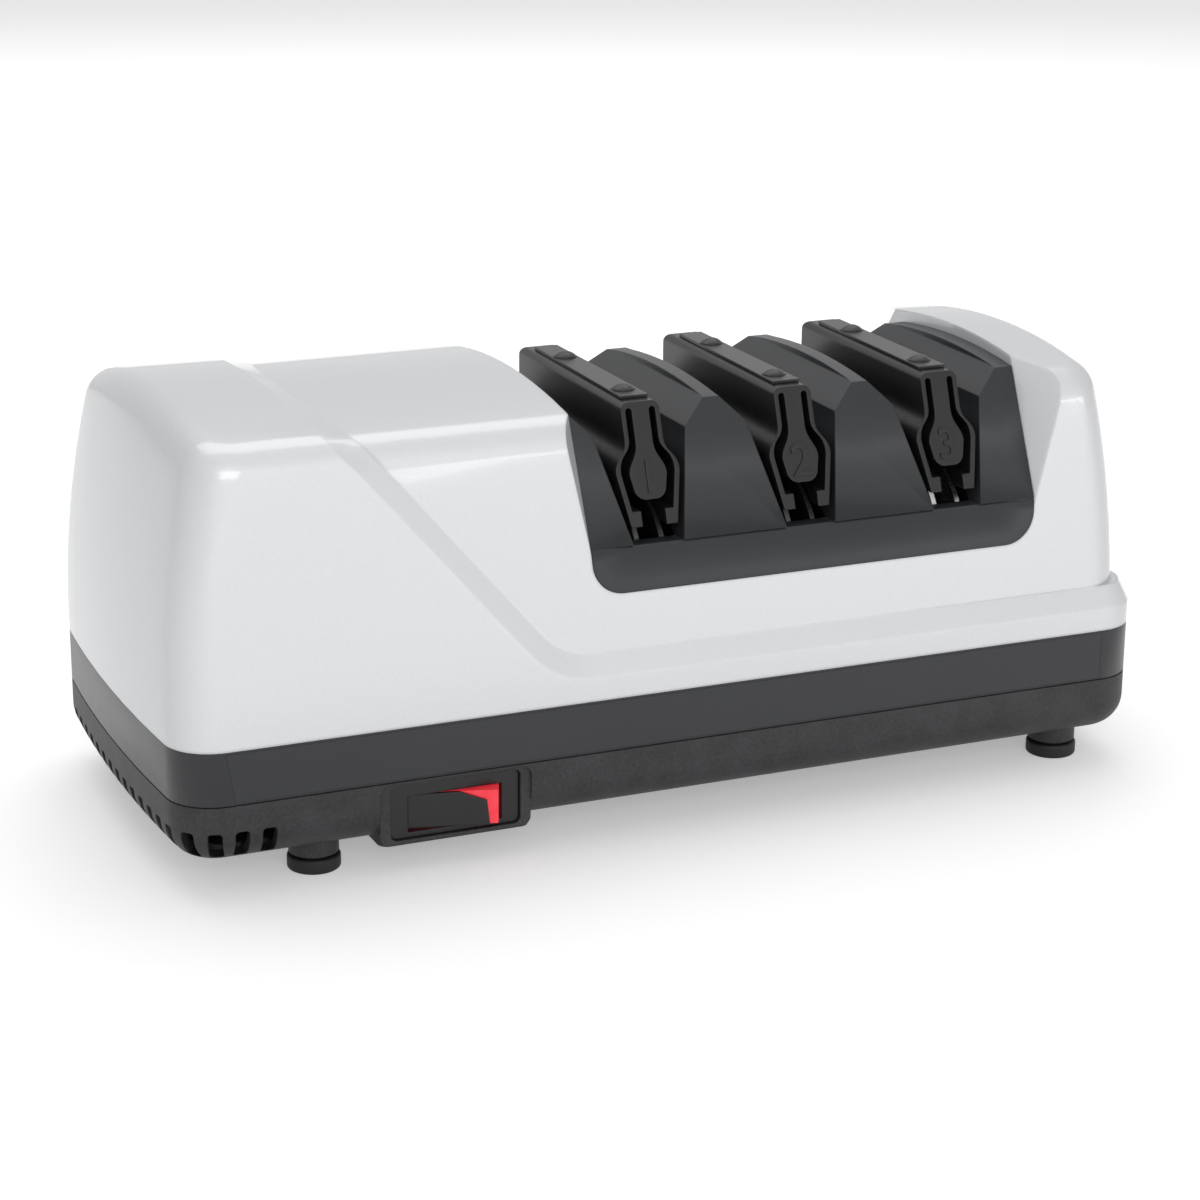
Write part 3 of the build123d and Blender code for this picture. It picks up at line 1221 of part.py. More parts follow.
# ---------------------------------------------------------------------------
# End bearing bracket
# ---------------------------------------------------------------------------
end_x = end_bracket_left_x + end_bracket_plate / 2
with BuildPart() as end_bracket:
    with BuildSketch(Plane.XY.offset(end_foot_z)):
        with Locations((end_x, shaft_y)):
            RectangleRounded(2 * end_foot_half_length, 2 * end_bracket_half_width, 2)
        with Locations(*end_screw_places):
            Circle(screw_clear_radius, mode=Mode.SUBTRACT)
    extrude(amount=end_foot_thickness)
    with BuildSketch(Plane.YZ.offset(end_bracket_left_x)):
        with Locations((shaft_y, (end_foot_z + shaft_z) / 2)):
            Rectangle(2 * end_bracket_half_width, shaft_z - end_foot_z)
        with Locations((shaft_y, shaft_z)):
            Circle(end_bracket_half_width)
            Circle(bush_radius + seat_gap, mode=Mode.SUBTRACT)
    extrude(amount=end_bracket_plate)
end_bracket.part.label = "end_bracket"
export_step(end_bracket.part, "parts/end_bracket.step")

with BuildPart() as end_bracket_screws:
    add(upright_screws(end_screw_places, end_foot_z + end_foot_thickness, end_screw_length, head_up=True))
end_bracket_screws.part.label = "end_bracket_screws"
export_step(end_bracket_screws.part, "parts/end_bracket_screws.step")

# ---------------------------------------------------------------------------
# Rocker switch
# ---------------------------------------------------------------------------
with BuildPart() as switch_body:
    with BuildSketch(Plane.XZ.offset(-bezel_face_y)):
        with Locations((switch_x, bezel_mid_z)):
            RectangleRounded(2 * (switch_half + bezel_margin), bezel_height, bezel_round)
    extrude(amount=-bezel_thickness)
    with BuildSketch(Plane.XZ.offset(-bezel_back_y)):
        with Locations((switch_x, switch_mid_z)):
            Rectangle(2 * (switch_half + switch_wall), switch_height + 2 * switch_wall)
    extrude(amount=bezel_back_y - switch_back_y)
    with BuildSketch(Plane.XZ.offset(-bezel_face_y)):
        with Locations((switch_x, switch_mid_z)):
            Rectangle(2 * switch_half, switch_height)
    extrude(amount=bezel_face_y - switch_back_y + switch_back_wall, mode=Mode.SUBTRACT)
    with BuildSketch(Plane.XY.offset(switch_low_z - 1)):
        with Locations((switch_x, rocker_pivot_y)):
            Circle(rocker_pin_radius + bush_gap)
    extrude(amount=switch_height + 2, mode=Mode.SUBTRACT)
switch_body.part.label = "switch_body"
export_step(switch_body.part, "parts/switch_body.step")


def rocker_view(z, left_x, right_x, front, back):
    """Plan of a rocker layer as it stands with its right end pushed out."""
    with BuildSketch(Plane.XY.offset(z)) as view:
        with BuildLine():
            Polyline((-rocker_round, -front), (0, -front + rocker_dish), (rocker_round, -front),
                     (rocker_round, back), (-rocker_round, back), close=True)
        make_face()
        Circle(rocker_round, mode=Mode.INTERSECT)
        with Locations(((left_x + right_x) / 2, 0)):
            Rectangle(right_x - left_x, 4 * rocker_round, mode=Mode.INTERSECT)
    turned = view.sketch.rotate(Axis.Z, -rocker_tilt)
    return turned.moved(Location((switch_x, rocker_pivot_y, 0)))


rocker_low_z = switch_low_z + free_gap
rocker_high_z = switch_high_z - free_gap
red_front = rocker_face - rocker_cap_thickness
with BuildPart() as rocker_red:
    extrude(rocker_view(rocker_low_z, -rocker_round, rocker_round, red_front, rocker_back),
            amount=rocker_high_z - rocker_low_z)
    with BuildSketch(Plane.XY.offset(rocker_low_z - rocker_pin_reach)):
        with Locations((switch_x, rocker_pivot_y)):
            Circle(rocker_pin_radius)
    extrude(amount=rocker_high_z - rocker_low_z + 2 * rocker_pin_reach)
rocker_red.part.label = "rocker_red"
export_step(rocker_red.part, "parts/rocker_red.step")

with BuildPart() as rocker_cap:
    extrude(rocker_view(rocker_low_z, -rocker_round, rocker_length - rocker_red_end, rocker_face,
                        -red_front + rocker_dish), amount=rocker_high_z - rocker_low_z - rocker_red_top)
    add(rocker_red.part, mode=Mode.SUBTRACT)
rocker_cap.part.label = "rocker_cap"
export_step(rocker_cap.part, "parts/rocker_cap.step")

with BuildPart() as switch_terminals:
    with BuildSketch(Plane.XZ.offset(-switch_back_y)):
        with Locations((switch_x - terminal_pitch / 2, switch_mid_z),
                       (switch_x + terminal_pitch / 2, switch_mid_z)):
            Rectangle(terminal_thickness, terminal_width)
    extrude(amount=-terminal_length)
switch_terminals.part.label = "switch_terminals"
export_step(switch_terminals.part, "parts/switch_terminals.step")

# ---------------------------------------------------------------------------
# Cord inlet bush, as far out at the back as the rocker is at the front
# ---------------------------------------------------------------------------
with BuildPart() as inlet_bush:
    with BuildSketch(Plane.XZ.offset(-rocker_reach)):
        with Locations((inlet_x, inlet_z)):
            Circle(inlet_flange_radius)
    extrude(amount=rocker_reach - depth / 2)
    with BuildSketch(Plane.XZ.offset(-depth / 2)):
        with Locations((inlet_x, inlet_z)):
            Circle(inlet_neck_radius)
    extrude(amount=inlet_wall)
    with BuildSketch(Plane.XZ.offset(-depth / 2 + inlet_wall)):
        with Locations((inlet_x, inlet_z)):
            Circle(inlet_neck_radius + inlet_flange_step)
    extrude(amount=inlet_inner_flange)
    fillet(inlet_bush.faces().sort_by(Axis.Y)[-1].edges(), 0.8)
    with BuildSketch(Plane.XZ.offset(-rocker_reach)):
        with Locations((inlet_x, inlet_z)):
            Circle(inlet_bore_radius)
    extrude(amount=4 * wall + inlet_wall, mode=Mode.SUBTRACT)
inlet_bush.part.label = "inlet_bush"
export_step(inlet_bush.part, "parts/inlet_bush.step")

# ---------------------------------------------------------------------------
# Filings door with its magnet
# ---------------------------------------------------------------------------
with BuildPart() as filings_door:
    with BuildSketch(Plane.XY.offset(door_low_z)):
        with Locations(((door_left_x + door_right_x) / 2, (door_front_y + door_back_y) / 2)):
            RectangleRounded(door_right_x - door_left_x, door_back_y - door_front_y, door_corner_round)
    extrude(amount=door_thickness)
    with BuildSketch(Plane.XY.offset(door_low_z)):
        with Locations((door_left_x + door_grip_inset, (door_front_y + door_back_y) / 2)):
            with GridLocations(door_grip_pitch, 0, door_grip_count, 1):
                Rectangle(door_grip_pitch / 2, (door_back_y - door_front_y) / 2)
    extrude(amount=-door_grip_height)
filings_door.part.label = "filings_door"
export_step(filings_door.part, "parts/filings_door.step")

with BuildPart() as filings_magnet:
    with BuildSketch(Plane.XY.offset(door_high_z)):
        with Locations((magnet_x, (door_front_y + door_back_y) / 2)):
            Circle(magnet_radius)
    extrude(amount=magnet_height)
filings_magnet.part.label = "filings_magnet"
export_step(filings_magnet.part, "parts/filings_magnet.step")

# ---------------------------------------------------------------------------
# Dressing lever with its pad and pin
# ---------------------------------------------------------------------------
lever_x = stage_centres[2]
lever_pad_back_y = lever_pad_front_y + lever_pad_length
knob_end_y = depth / 2 + 2
with BuildPart() as dressing_lever:
    with BuildSketch(Plane.XY.offset(lever_low_z)):
        with Locations((lever_x, (lever_pad_back_y + lever_knob_y) / 2)):
            Rectangle(2 * lever_half_width, lever_knob_y - lever_pad_back_y)
        with Locations((lever_x, lever_pivot_y)):
            Circle(lever_hub_radius)
            Circle(lever_pin_radius + bush_gap, mode=Mode.SUBTRACT)
    extrude(amount=lever_thickness)
    with BuildSketch(Plane.XZ.offset(-lever_knob_y)):
        with Locations((lever_x, lever_mid_z)):
            RectangleRounded(2 * lever_knob_half_width, lever_pad_height, 1.5)
    extrude(amount=lever_knob_y - knob_end_y)
    fillet(dressing_lever.faces().sort_by(Axis.Y)[-1].edges(), 1.0)
dressing_lever.part.label = "dressing_lever"
export_step(dressing_lever.part, "parts/dressing_lever.step")

with BuildPart() as dressing_pad:
    with BuildSketch(Plane.XZ.offset(-lever_pad_front_y)):
        with Locations((lever_x, lever_mid_z)):
            RectangleRounded(2 * lever_pad_half_width, lever_pad_height, 0.8)
    extrude(amount=-lever_pad_length)
dressing_pad.part.label = "dressing_pad"
export_step(dressing_pad.part, "parts/dressing_pad.step")

with BuildPart() as lever_pin:
    with BuildSketch(Plane.XY.offset(lever_low_z - free_gap)):
        with Locations((lever_x, lever_pivot_y)):
            Circle(2 * lever_pin_radius)
    extrude(amount=-lever_pin_head)
    with BuildSketch(Plane.XY.offset(lever_low_z - free_gap)):
        with Locations((lever_x, lever_pivot_y)):
            Circle(lever_pin_radius)
    extrude(amount=notch_low_z - lever_low_z + 2)
lever_pin.part.label = "lever_pin"
export_step(lever_pin.part, "parts/lever_pin.step")
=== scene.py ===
# %% [markdown]
# # Electric knife sharpener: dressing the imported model
# The construction comes in as a fixed frame: every piece already has its real size and place, in metres.
# This script only gives the surfaces their finish, adds the few shapes that are too fine for the
# construction, and lights the object on a plain floor.

# %% Load the frame
import json
import math
import bmesh
import bpy
from mathutils import Matrix, Vector

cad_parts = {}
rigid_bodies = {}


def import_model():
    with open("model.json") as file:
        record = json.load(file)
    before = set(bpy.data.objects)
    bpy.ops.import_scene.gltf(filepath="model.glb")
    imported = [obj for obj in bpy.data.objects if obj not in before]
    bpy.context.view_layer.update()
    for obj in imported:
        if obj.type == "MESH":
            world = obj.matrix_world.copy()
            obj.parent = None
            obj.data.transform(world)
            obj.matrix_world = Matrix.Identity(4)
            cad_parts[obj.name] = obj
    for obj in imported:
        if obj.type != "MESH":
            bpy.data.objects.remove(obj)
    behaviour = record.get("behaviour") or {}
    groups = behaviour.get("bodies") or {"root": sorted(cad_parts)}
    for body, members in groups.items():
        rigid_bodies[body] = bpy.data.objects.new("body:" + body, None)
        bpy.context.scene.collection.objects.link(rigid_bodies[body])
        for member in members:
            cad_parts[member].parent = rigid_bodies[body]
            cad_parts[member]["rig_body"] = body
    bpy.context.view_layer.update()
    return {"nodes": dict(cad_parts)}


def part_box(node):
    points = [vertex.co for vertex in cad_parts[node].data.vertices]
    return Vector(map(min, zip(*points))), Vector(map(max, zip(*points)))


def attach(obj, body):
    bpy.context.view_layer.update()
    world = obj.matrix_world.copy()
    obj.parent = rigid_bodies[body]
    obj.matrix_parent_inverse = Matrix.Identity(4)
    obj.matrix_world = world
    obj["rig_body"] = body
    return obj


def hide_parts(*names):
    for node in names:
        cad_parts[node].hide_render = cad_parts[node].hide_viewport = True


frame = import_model()
nodes = frame["nodes"]


MM = 0.001

# %% [markdown]
# ## The camera
# The view is through a long lens, from the left and a little above. Blender's camera looks along its own
# -Z, so its three axes are worked out from the two angles of the view and put in a matrix as columns.

# %% Camera
VIEW_AZIMUTH = math.radians(-23.35)
VIEW_ELEVATION = math.radians(17.95)
VIEW_ROLL = math.radians(0.38)
VIEW_PLACE = Vector((-289.1, -668.7, 277.7)) * MM
LENS_MM = 91.35
SENSOR_MM = 36.0


def view_matrix(azimuth, elevation, roll, place):
    """World matrix of a camera that looks level along +Y when both angles are zero."""
    right = Vector((math.cos(azimuth), math.sin(azimuth), 0))
    forward = Vector((-math.sin(azimuth) * math.cos(elevation),
                      math.cos(azimuth) * math.cos(elevation), -math.sin(elevation)))
    up = right.cross(forward)
    side = right * math.cos(roll) + up * math.sin(roll)
    top = -right * math.sin(roll) + up * math.cos(roll)
    matrix = Matrix((side, top, -forward)).transposed().to_4x4()
    matrix.translation = place
    return matrix


camera_data = bpy.data.cameras.new("camera")
camera_data.lens = LENS_MM
camera_data.sensor_width = SENSOR_MM
camera_data.clip_start = 0.01
camera = bpy.data.objects.new("camera", camera_data)
camera.matrix_world = view_matrix(VIEW_AZIMUTH, VIEW_ELEVATION, VIEW_ROLL, VIEW_PLACE)
bpy.context.scene.collection.objects.link(camera)
bpy.context.scene.camera = camera
bpy.context.scene.view_settings.view_transform = "Standard"
print("camera distance from the origin:", round(VIEW_PLACE.length, 3), "m")

# %% [markdown]
# ## Small tools for materials
# Blender mixes colours in linear light, while colours are easiest to read as sRGB hex values, so one function
# turns the second into the first. Another adds one shader node with its settings and its links.

# %% Colour and node tools
WHITE_ALPHA = 1.0
PLAIN_WHITE = (1.0, 1.0, 1.0, WHITE_ALPHA)


def linear(hex_colour):
    """An sRGB hex value such as '#8090A0' as linear red, green, blue, alpha."""
    channels = [int(hex_colour[i:i + 2], 16) / 255 for i in (1, 3, 5)]
    return [c / 12.92 if c <= 0.04045 else ((c + 0.055) / 1.055) ** 2.4 for c in channels] + [WHITE_ALPHA]


def add_node(tree, kind, settings=None, inputs=None, links=None):
    """One shader node: its settings, plain input values, and links from other nodes' outputs."""
    node = tree.nodes.new(kind)
    for name, value in (settings or {}).items():
        setattr(node, name, value)
    for name, value in (inputs or {}).items():
        node.inputs[name].default_value = value
    for name, source in (links or {}).items():
        tree.links.new(source, node.inputs[name])
    return node


def new_finish(name, **values):
    """An empty finish: a Principled shader with the given socket values, and its output."""
    material = bpy.data.materials.new(name)
    material.use_nodes = True
    tree = material.node_tree
    tree.nodes.clear()
    shader = add_node(tree, "ShaderNodeBsdfPrincipled",
                      inputs={key.replace("_", " "): value for key, value in values.items()})
    add_node(tree, "ShaderNodeOutputMaterial", links={"Surface": shader.outputs["BSDF"]})
    return material, tree, shader


# %% [markdown]
# ## Moulded plastics
# Most dark pieces are injection moulded. A mould leaves a very fine grain, and the colour drifts a little
# over a large face. One recipe covers them: a slow noise for the drift, a fine noise for the grain, and
# roughness that follows the grain. The numbers are what differs: how coarse the grain is, in millimetres,
# and how deep.
#
# Moulded edges are never knife sharp. A Bevel node rounds the shading of each edge over a small radius, so
# that edges catch a thin line of light as the real ones do.

# %% Recipe for moulded plastic
EDGE_RADIUS_MM = 0.45
EDGE_SAMPLES = 4
DRIFT_MM = 45.0
GRAIN_SHARE = 0.6
GRAIN_RAMP = (0.45, 1.0)
GLOSS_SPREAD = 0.08


def moulded_plastic(name, light, dark, roughness, grain_mm, grain_depth_mm):
    """Moulded plastic with a grain of the given size and depth, and a slow drift of colour."""
    material, tree, shader = new_finish(name, Roughness=roughness)
    place = add_node(tree, "ShaderNodeTexCoord")
    drift = add_node(tree, "ShaderNodeTexNoise", inputs={"Scale": 1 / (DRIFT_MM * MM), "Detail": 2.0},
                     links={"Vector": place.outputs["Object"]})
    grain = add_node(tree, "ShaderNodeTexNoise", inputs={"Scale": 1 / (grain_mm * MM), "Detail": 3.0},
                     links={"Vector": place.outputs["Object"]})
    blend = add_node(tree, "ShaderNodeMath", {"operation": "MULTIPLY_ADD"}, {1: GRAIN_SHARE},
                     {0: grain.outputs["Fac"], 2: drift.outputs["Fac"]})
    colour = add_node(tree, "ShaderNodeValToRGB", links={"Fac": blend.outputs["Value"]})
    colour.color_ramp.elements[0].position = GRAIN_RAMP[0]
    colour.color_ramp.elements[0].color = linear(dark)
    colour.color_ramp.elements[1].position = GRAIN_RAMP[1]
    colour.color_ramp.elements[1].color = linear(light)
    gloss = add_node(tree, "ShaderNodeMapRange",
                     inputs={"To Min": roughness - GLOSS_SPREAD, "To Max": roughness + GLOSS_SPREAD},
                     links={"Value": grain.outputs["Fac"]})
    edge = add_node(tree, "ShaderNodeBevel", {"samples": EDGE_SAMPLES}, {"Radius": EDGE_RADIUS_MM * MM})
    bump = add_node(tree, "ShaderNodeBump", inputs={"Strength": 1.0, "Distance": grain_depth_mm * MM},
                    links={"Height": grain.outputs["Fac"], "Normal": edge.outputs["Normal"]})
    tree.links.new(colour.outputs["Color"], shader.inputs["Base Color"])
    tree.links.new(gloss.outputs["Result"], shader.inputs["Roughness"])
    tree.links.new(bump.outputs["Normal"], shader.inputs["Normal"])
    return material


band_abs = moulded_plastic("smooth_grey_abs", "#27282B", "#212225", 0.34, 0.5, 0.006)
plate_abs = moulded_plastic("satin_plate_abs", "#2A2B2E", "#242528", 0.40, 0.5, 0.008)
module_abs = moulded_plastic("satin_grey_abs", "#2B2D30", "#232528", 0.40, 0.45, 0.015)
guide_acetal = moulded_plastic("black_acetal", "#1C1C1D", "#151516", 0.34, 0.4, 0.010)
switch_nylon = moulded_plastic("black_nylon", "#101012", "#0B0B0C", 0.40, 0.4, 0.012)
rocker_nylon = moulded_plastic("satin_black_nylon", "#151517", "#0E0E10", 0.36, 0.4, 0.008)
white_nylon = moulded_plastic("natural_nylon", "#E4DFD0", "#D2CCBA", 0.45, 0.6, 0.010)
print("moulded plastics:", band_abs.name, module_abs.name, guide_acetal.name)

# %% [markdown]
# ## Spark-textured base
# The tray below the band has a coarse, matt, speckled skin, cut into the mould by sparks. It is drawn with
# a noise about 0.9 mm across, coarser than the real skin, so that the speckle still shows in a render.

# %% Spark-textured plastic
SPARK_MM = 0.9
SPARK_DEPTH_MM = 0.08
FLOW_MM = 9.0
FLOW_SHARE = 0.5
SPARK_RAMP = (0.60, 0.92)
SPARK_ROUGHNESS = (0.38, 0.72)


def spark_textured_plastic():
    """Dark grey plastic with a speckled, matt, spark-eroded skin."""
    material, tree, shader = new_finish("spark_textured_abs", Roughness=0.6)
    place = add_node(tree, "ShaderNodeTexCoord")
    pits = add_node(tree, "ShaderNodeTexNoise",
                    inputs={"Scale": 1 / (SPARK_MM * MM), "Detail": 4.0, "Roughness": 0.7},
                    links={"Vector": place.outputs["Object"]})
    flow = add_node(tree, "ShaderNodeTexNoise", inputs={"Scale": 1 / (FLOW_MM * MM), "Detail": 2.0},
                    links={"Vector": place.outputs["Object"]})
    sum_up = add_node(tree, "ShaderNodeMath", {"operation": "MULTIPLY_ADD"}, {1: FLOW_SHARE},
                      {0: flow.outputs["Fac"], 2: pits.outputs["Fac"]})
    colour = add_node(tree, "ShaderNodeValToRGB", links={"Fac": sum_up.outputs["Value"]})
    colour.color_ramp.elements[0].position = SPARK_RAMP[0]
    colour.color_ramp.elements[0].color = linear("#1A1A1C")
    colour.color_ramp.elements[1].position = SPARK_RAMP[1]
    colour.color_ramp.elements[1].color = linear("#343437")
    gloss = add_node(tree, "ShaderNodeMapRange",
                     inputs={"To Min": SPARK_ROUGHNESS[0], "To Max": SPARK_ROUGHNESS[1]},
                     links={"Value": pits.outputs["Fac"]})
    edge = add_node(tree, "ShaderNodeBevel", {"samples": EDGE_SAMPLES}, {"Radius": EDGE_RADIUS_MM * MM})
    bump = add_node(tree, "ShaderNodeBump", inputs={"Strength": 1.0, "Distance": SPARK_DEPTH_MM * MM},
                    links={"Height": pits.outputs["Fac"], "Normal": edge.outputs["Normal"]})
    tree.links.new(colour.outputs["Color"], shader.inputs["Base Color"])
    tree.links.new(gloss.outputs["Result"], shader.inputs["Roughness"])
    tree.links.new(bump.outputs["Normal"], shader.inputs["Normal"])
    return material


base_abs = spark_textured_plastic()

# %% [markdown]
# ## Pearl silver paint
# The housing is sprayed with a pale silver paint under a clear coat. The flakes lie flat, so the paint is
# bright where light meets it square on and a shade greyer where it is seen at a slant. Layer Weight gives
# that change, a fine noise stands for the flakes, and the clear coat is the shader's own coat. The Bevel
# radius is larger than that of the plastics, because the edges of the painted shell are softer.

# %% Pearl paint
FLAKE_MM = 0.35
FLAKE_DEPTH_MM = 0.004
FLAKE_BUMP = 0.5
FLAKE_SHARE = 0.22
SLANT_BLEND = 0.35
PAINT_RAMP = (0.05, 1.0)
PAINT_ROUGHNESS = (0.36, 0.48)
PAINT_EDGE_MM = 1.3


def pearl_paint_finish():
    """Silver paint with flakes under a clear coat."""
    material, tree, shader = new_finish("pearl_silver_paint", Metallic=0.2, Roughness=0.42,
                                        Coat_Weight=1.0, Coat_Roughness=0.07, Coat_IOR=1.5)
    place = add_node(tree, "ShaderNodeTexCoord")
    flakes = add_node(tree, "ShaderNodeTexNoise", inputs={"Scale": 1 / (FLAKE_MM * MM), "Detail": 2.0},
                      links={"Vector": place.outputs["Object"]})
    slant = add_node(tree, "ShaderNodeLayerWeight", inputs={"Blend": SLANT_BLEND})
    tone = add_node(tree, "ShaderNodeMath", {"operation": "MULTIPLY_ADD"}, {1: FLAKE_SHARE},
                    {0: flakes.outputs["Fac"], 2: slant.outputs["Facing"]})
    colour = add_node(tree, "ShaderNodeValToRGB", links={"Fac": tone.outputs["Value"]})
    colour.color_ramp.elements[0].position = PAINT_RAMP[0]
    colour.color_ramp.elements[0].color = linear("#ECEDEF")
    colour.color_ramp.elements[1].position = PAINT_RAMP[1]
    colour.color_ramp.elements[1].color = linear("#AEB1B6")
    gloss = add_node(tree, "ShaderNodeMapRange",
                     inputs={"To Min": PAINT_ROUGHNESS[0], "To Max": PAINT_ROUGHNESS[1]},
                     links={"Value": flakes.outputs["Fac"]})
    edge = add_node(tree, "ShaderNodeBevel", {"samples": EDGE_SAMPLES}, {"Radius": PAINT_EDGE_MM * MM})
    bump = add_node(tree, "ShaderNodeBump", inputs={"Strength": FLAKE_BUMP, "Distance": FLAKE_DEPTH_MM * MM},
                    links={"Height": flakes.outputs["Fac"], "Normal": edge.outputs["Normal"]})
    tree.links.new(colour.outputs["Color"], shader.inputs["Base Color"])
    tree.links.new(gloss.outputs["Result"], shader.inputs["Roughness"])
    tree.links.new(bump.outputs["Normal"], shader.inputs["Normal"])
    return material


pearl_paint = pearl_paint_finish()

# %% [markdown]
# ## Metals
# Steel, bronze and copper keep the default IOR and are fully metallic. Turned and ground pieces are streaked
# round the shaft, so the noise is stretched across it. The discs of the first two stages are dull with a fine
# coat of abrasive, and those of the last stage are polished.

# %% Metals
STREAK_RAMP = (0.3, 0.7)
STREAK_GLOSS = (-0.08, 0.10)


def streaked_metal(name, light, dark, roughness, streak_mm, stretch=(1.0, 1.0, 1.0)):
    """Bare metal whose fine streaks are stretched along the small numbers of stretch."""
    material, tree, shader = new_finish(name, Metallic=1.0, Roughness=roughness)
    place = add_node(tree, "ShaderNodeTexCoord")
    along = add_node(tree, "ShaderNodeMapping", inputs={"Scale": stretch},
                     links={"Vector": place.outputs["Object"]})
    streaks = add_node(tree, "ShaderNodeTexNoise", inputs={"Scale": 1 / (streak_mm * MM), "Detail": 3.0},
                       links={"Vector": along.outputs["Vector"]})
    colour = add_node(tree, "ShaderNodeValToRGB", links={"Fac": streaks.outputs["Fac"]})
    colour.color_ramp.elements[0].position = STREAK_RAMP[0]
    colour.color_ramp.elements[0].color = linear(dark)
    colour.color_ramp.elements[1].position = STREAK_RAMP[1]
    colour.color_ramp.elements[1].color = linear(light)
    gloss = add_node(tree, "ShaderNodeMapRange",
                     inputs={"To Min": roughness + STREAK_GLOSS[0], "To Max": roughness + STREAK_GLOSS[1]},
                     links={"Value": streaks.outputs["Fac"]})
    tree.links.new(colour.outputs["Color"], shader.inputs["Base Color"])
    tree.links.new(gloss.outputs["Result"], shader.inputs["Roughness"])
    return material


disc_steel = streaked_metal("polished_steel", "#E2E2E0", "#B4B4B2", 0.28, 0.35)
coated_steel = streaked_metal("diamond_coated_steel", "#6A6A68", "#444442", 0.5, 0.35)
shaft_steel = streaked_metal("ground_steel", "#D4D5D6", "#A4A6A8", 0.25, 0.3, (6.0, 1.0, 1.0))
zinc_steel = streaked_metal("zinc_plated_steel", "#C4C6C8", "#96999C", 0.32, 0.6)
lamination_steel = streaked_metal("varnished_laminations", "#6E7276", "#44484C", 0.45, 0.5, (4.0, 0.3, 0.3))
cast_alloy = streaked_metal("die_cast_zinc", "#B4B6B8", "#94979A", 0.42, 1.2)
bush_bronze = streaked_metal("sintered_bronze", "#B08A56", "#8C6A3E", 0.45, 0.5)
copper_wire = streaked_metal("enamelled_copper", "#C4713C", "#8E4A22", 0.35, 0.4, (0.3, 0.3, 5.0))
tinned_brass = streaked_metal("tinned_brass", "#CDBB8A", "#A8945E", 0.35, 0.5)
print("metals:", disc_steel.name, shaft_steel.name, copper_wire.name)

# %% [markdown]
# ## Rubber, stone, ferrite and the red window
# The feet are black rubber, dull and a little dusty. The dressing stone and the magnet are gritty. The end of
# the rocker is a clear red acrylic that shows when the switch is on. It passes some light, and a weak
# emission paints a glow on it, though no lamp lies behind it.

# %% Rubber and grit
foot_rubber = moulded_plastic("black_rubber", "#0C0C0D", "#080809", 0.62, 0.7, 0.03)
dressing_stone = moulded_plastic("dressing_stone", "#A09C94", "#6E6A64", 0.85, 0.5, 0.10)
ferrite = moulded_plastic("ferrite", "#3A3A3C", "#28282A", 0.55, 0.6, 0.03)


CLOUD_MM = 4.0


def red_window_finish():
    """Red acrylic with a weak painted glow; no lamp lights it from inside."""
    # The emission strength is a painted glow: the red window has no lamp behind it.
    material, tree, shader = new_finish("red_acrylic", Roughness=0.2, Transmission_Weight=0.15, IOR=1.49,
                                        Emission_Strength=0.25)
    place = add_node(tree, "ShaderNodeTexCoord")
    cloud = add_node(tree, "ShaderNodeTexNoise", inputs={"Scale": 1 / (CLOUD_MM * MM), "Detail": 2.0},
                     links={"Vector": place.outputs["Object"]})
    colour = add_node(tree, "ShaderNodeValToRGB", links={"Fac": cloud.outputs["Fac"]})
    colour.color_ramp.elements[0].color = linear("#F02436")
    colour.color_ramp.elements[1].color = linear("#FF5460")
    tree.links.new(colour.outputs["Color"], shader.inputs["Base Color"])
    # The painted glow takes the window's own red.
    tree.links.new(colour.outputs["Color"], shader.inputs["Emission Color"])
    return material


red_acrylic = red_window_finish()

# %% [markdown]
# ## Dressing the pieces
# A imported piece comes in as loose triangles. Flat shading suits its flat faces, but its curves would show
# every triangle. So each piece gets a copy whose doubles are merged, with smooth shading up to an
# angle; past that angle an edge is kept crisp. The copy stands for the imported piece.

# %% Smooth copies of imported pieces
MERGE_DISTANCE = 0.002 * MM
CREASE_ANGLE = math.radians(24)
HOUSING_CREASE_ANGLE = math.radians(15)


def dress(node_name, material, reshape=None, crease=CREASE_ANGLE):
    """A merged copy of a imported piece, smooth up to the crease angle, in the given finish."""
    source = nodes[node_name]
    shape = bmesh.new()
    shape.from_mesh(source.data)
    bmesh.ops.remove_doubles(shape, verts=shape.verts, dist=MERGE_DISTANCE)
    if reshape:
        reshape(shape)
    for face in shape.faces:
        face.smooth = True
    for edge in shape.edges:
        edge.smooth = len(edge.link_faces) == 2 and edge.calc_face_angle(0) < crease
    mesh = bpy.data.meshes.new(f"{node_name}_shape")
    shape.to_mesh(mesh)
    shape.free()
    mesh.materials.append(material)
    piece = bpy.data.objects.new(f"{node_name}_skin", mesh)
    bpy.context.scene.collection.objects.link(piece)
    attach(piece, source["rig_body"])
    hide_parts(node_name)
    return piece


# %% [markdown]
# The rocker is a red body under a black cap. On the real one the cap reaches the full height at its left
# half and slopes down to the right, so that a red wedge shows above it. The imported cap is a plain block, so
# its copy is cut across at the start of the slope with bisect_plane, and its top corners are moved up or
# down.

# %% Slope of the rocker cap
ROCKER_PIVOT = Vector((-59.4, -49.6, 0)) * MM
ROCKER_TILT = math.radians(14.0)
SLOPE_START = 1.8 * MM
SLOPE_DROP = 2.3 * MM
CAP_RISE = 0.9 * MM
CAP_END_REACH = (1.0 * MM, 0.3 * MM)
CAP_EDGE_ZONE = 0.1 * MM
CUT_DISTANCE = 1e-7


def cut_across(shape, point, normal):
    """Cut every face that the plane through point crosses."""
    bmesh.ops.bisect_plane(shape, geom=shape.verts[:] + shape.edges[:] + shape.faces[:], dist=CUT_DISTANCE,
                           plane_co=point, plane_no=normal)


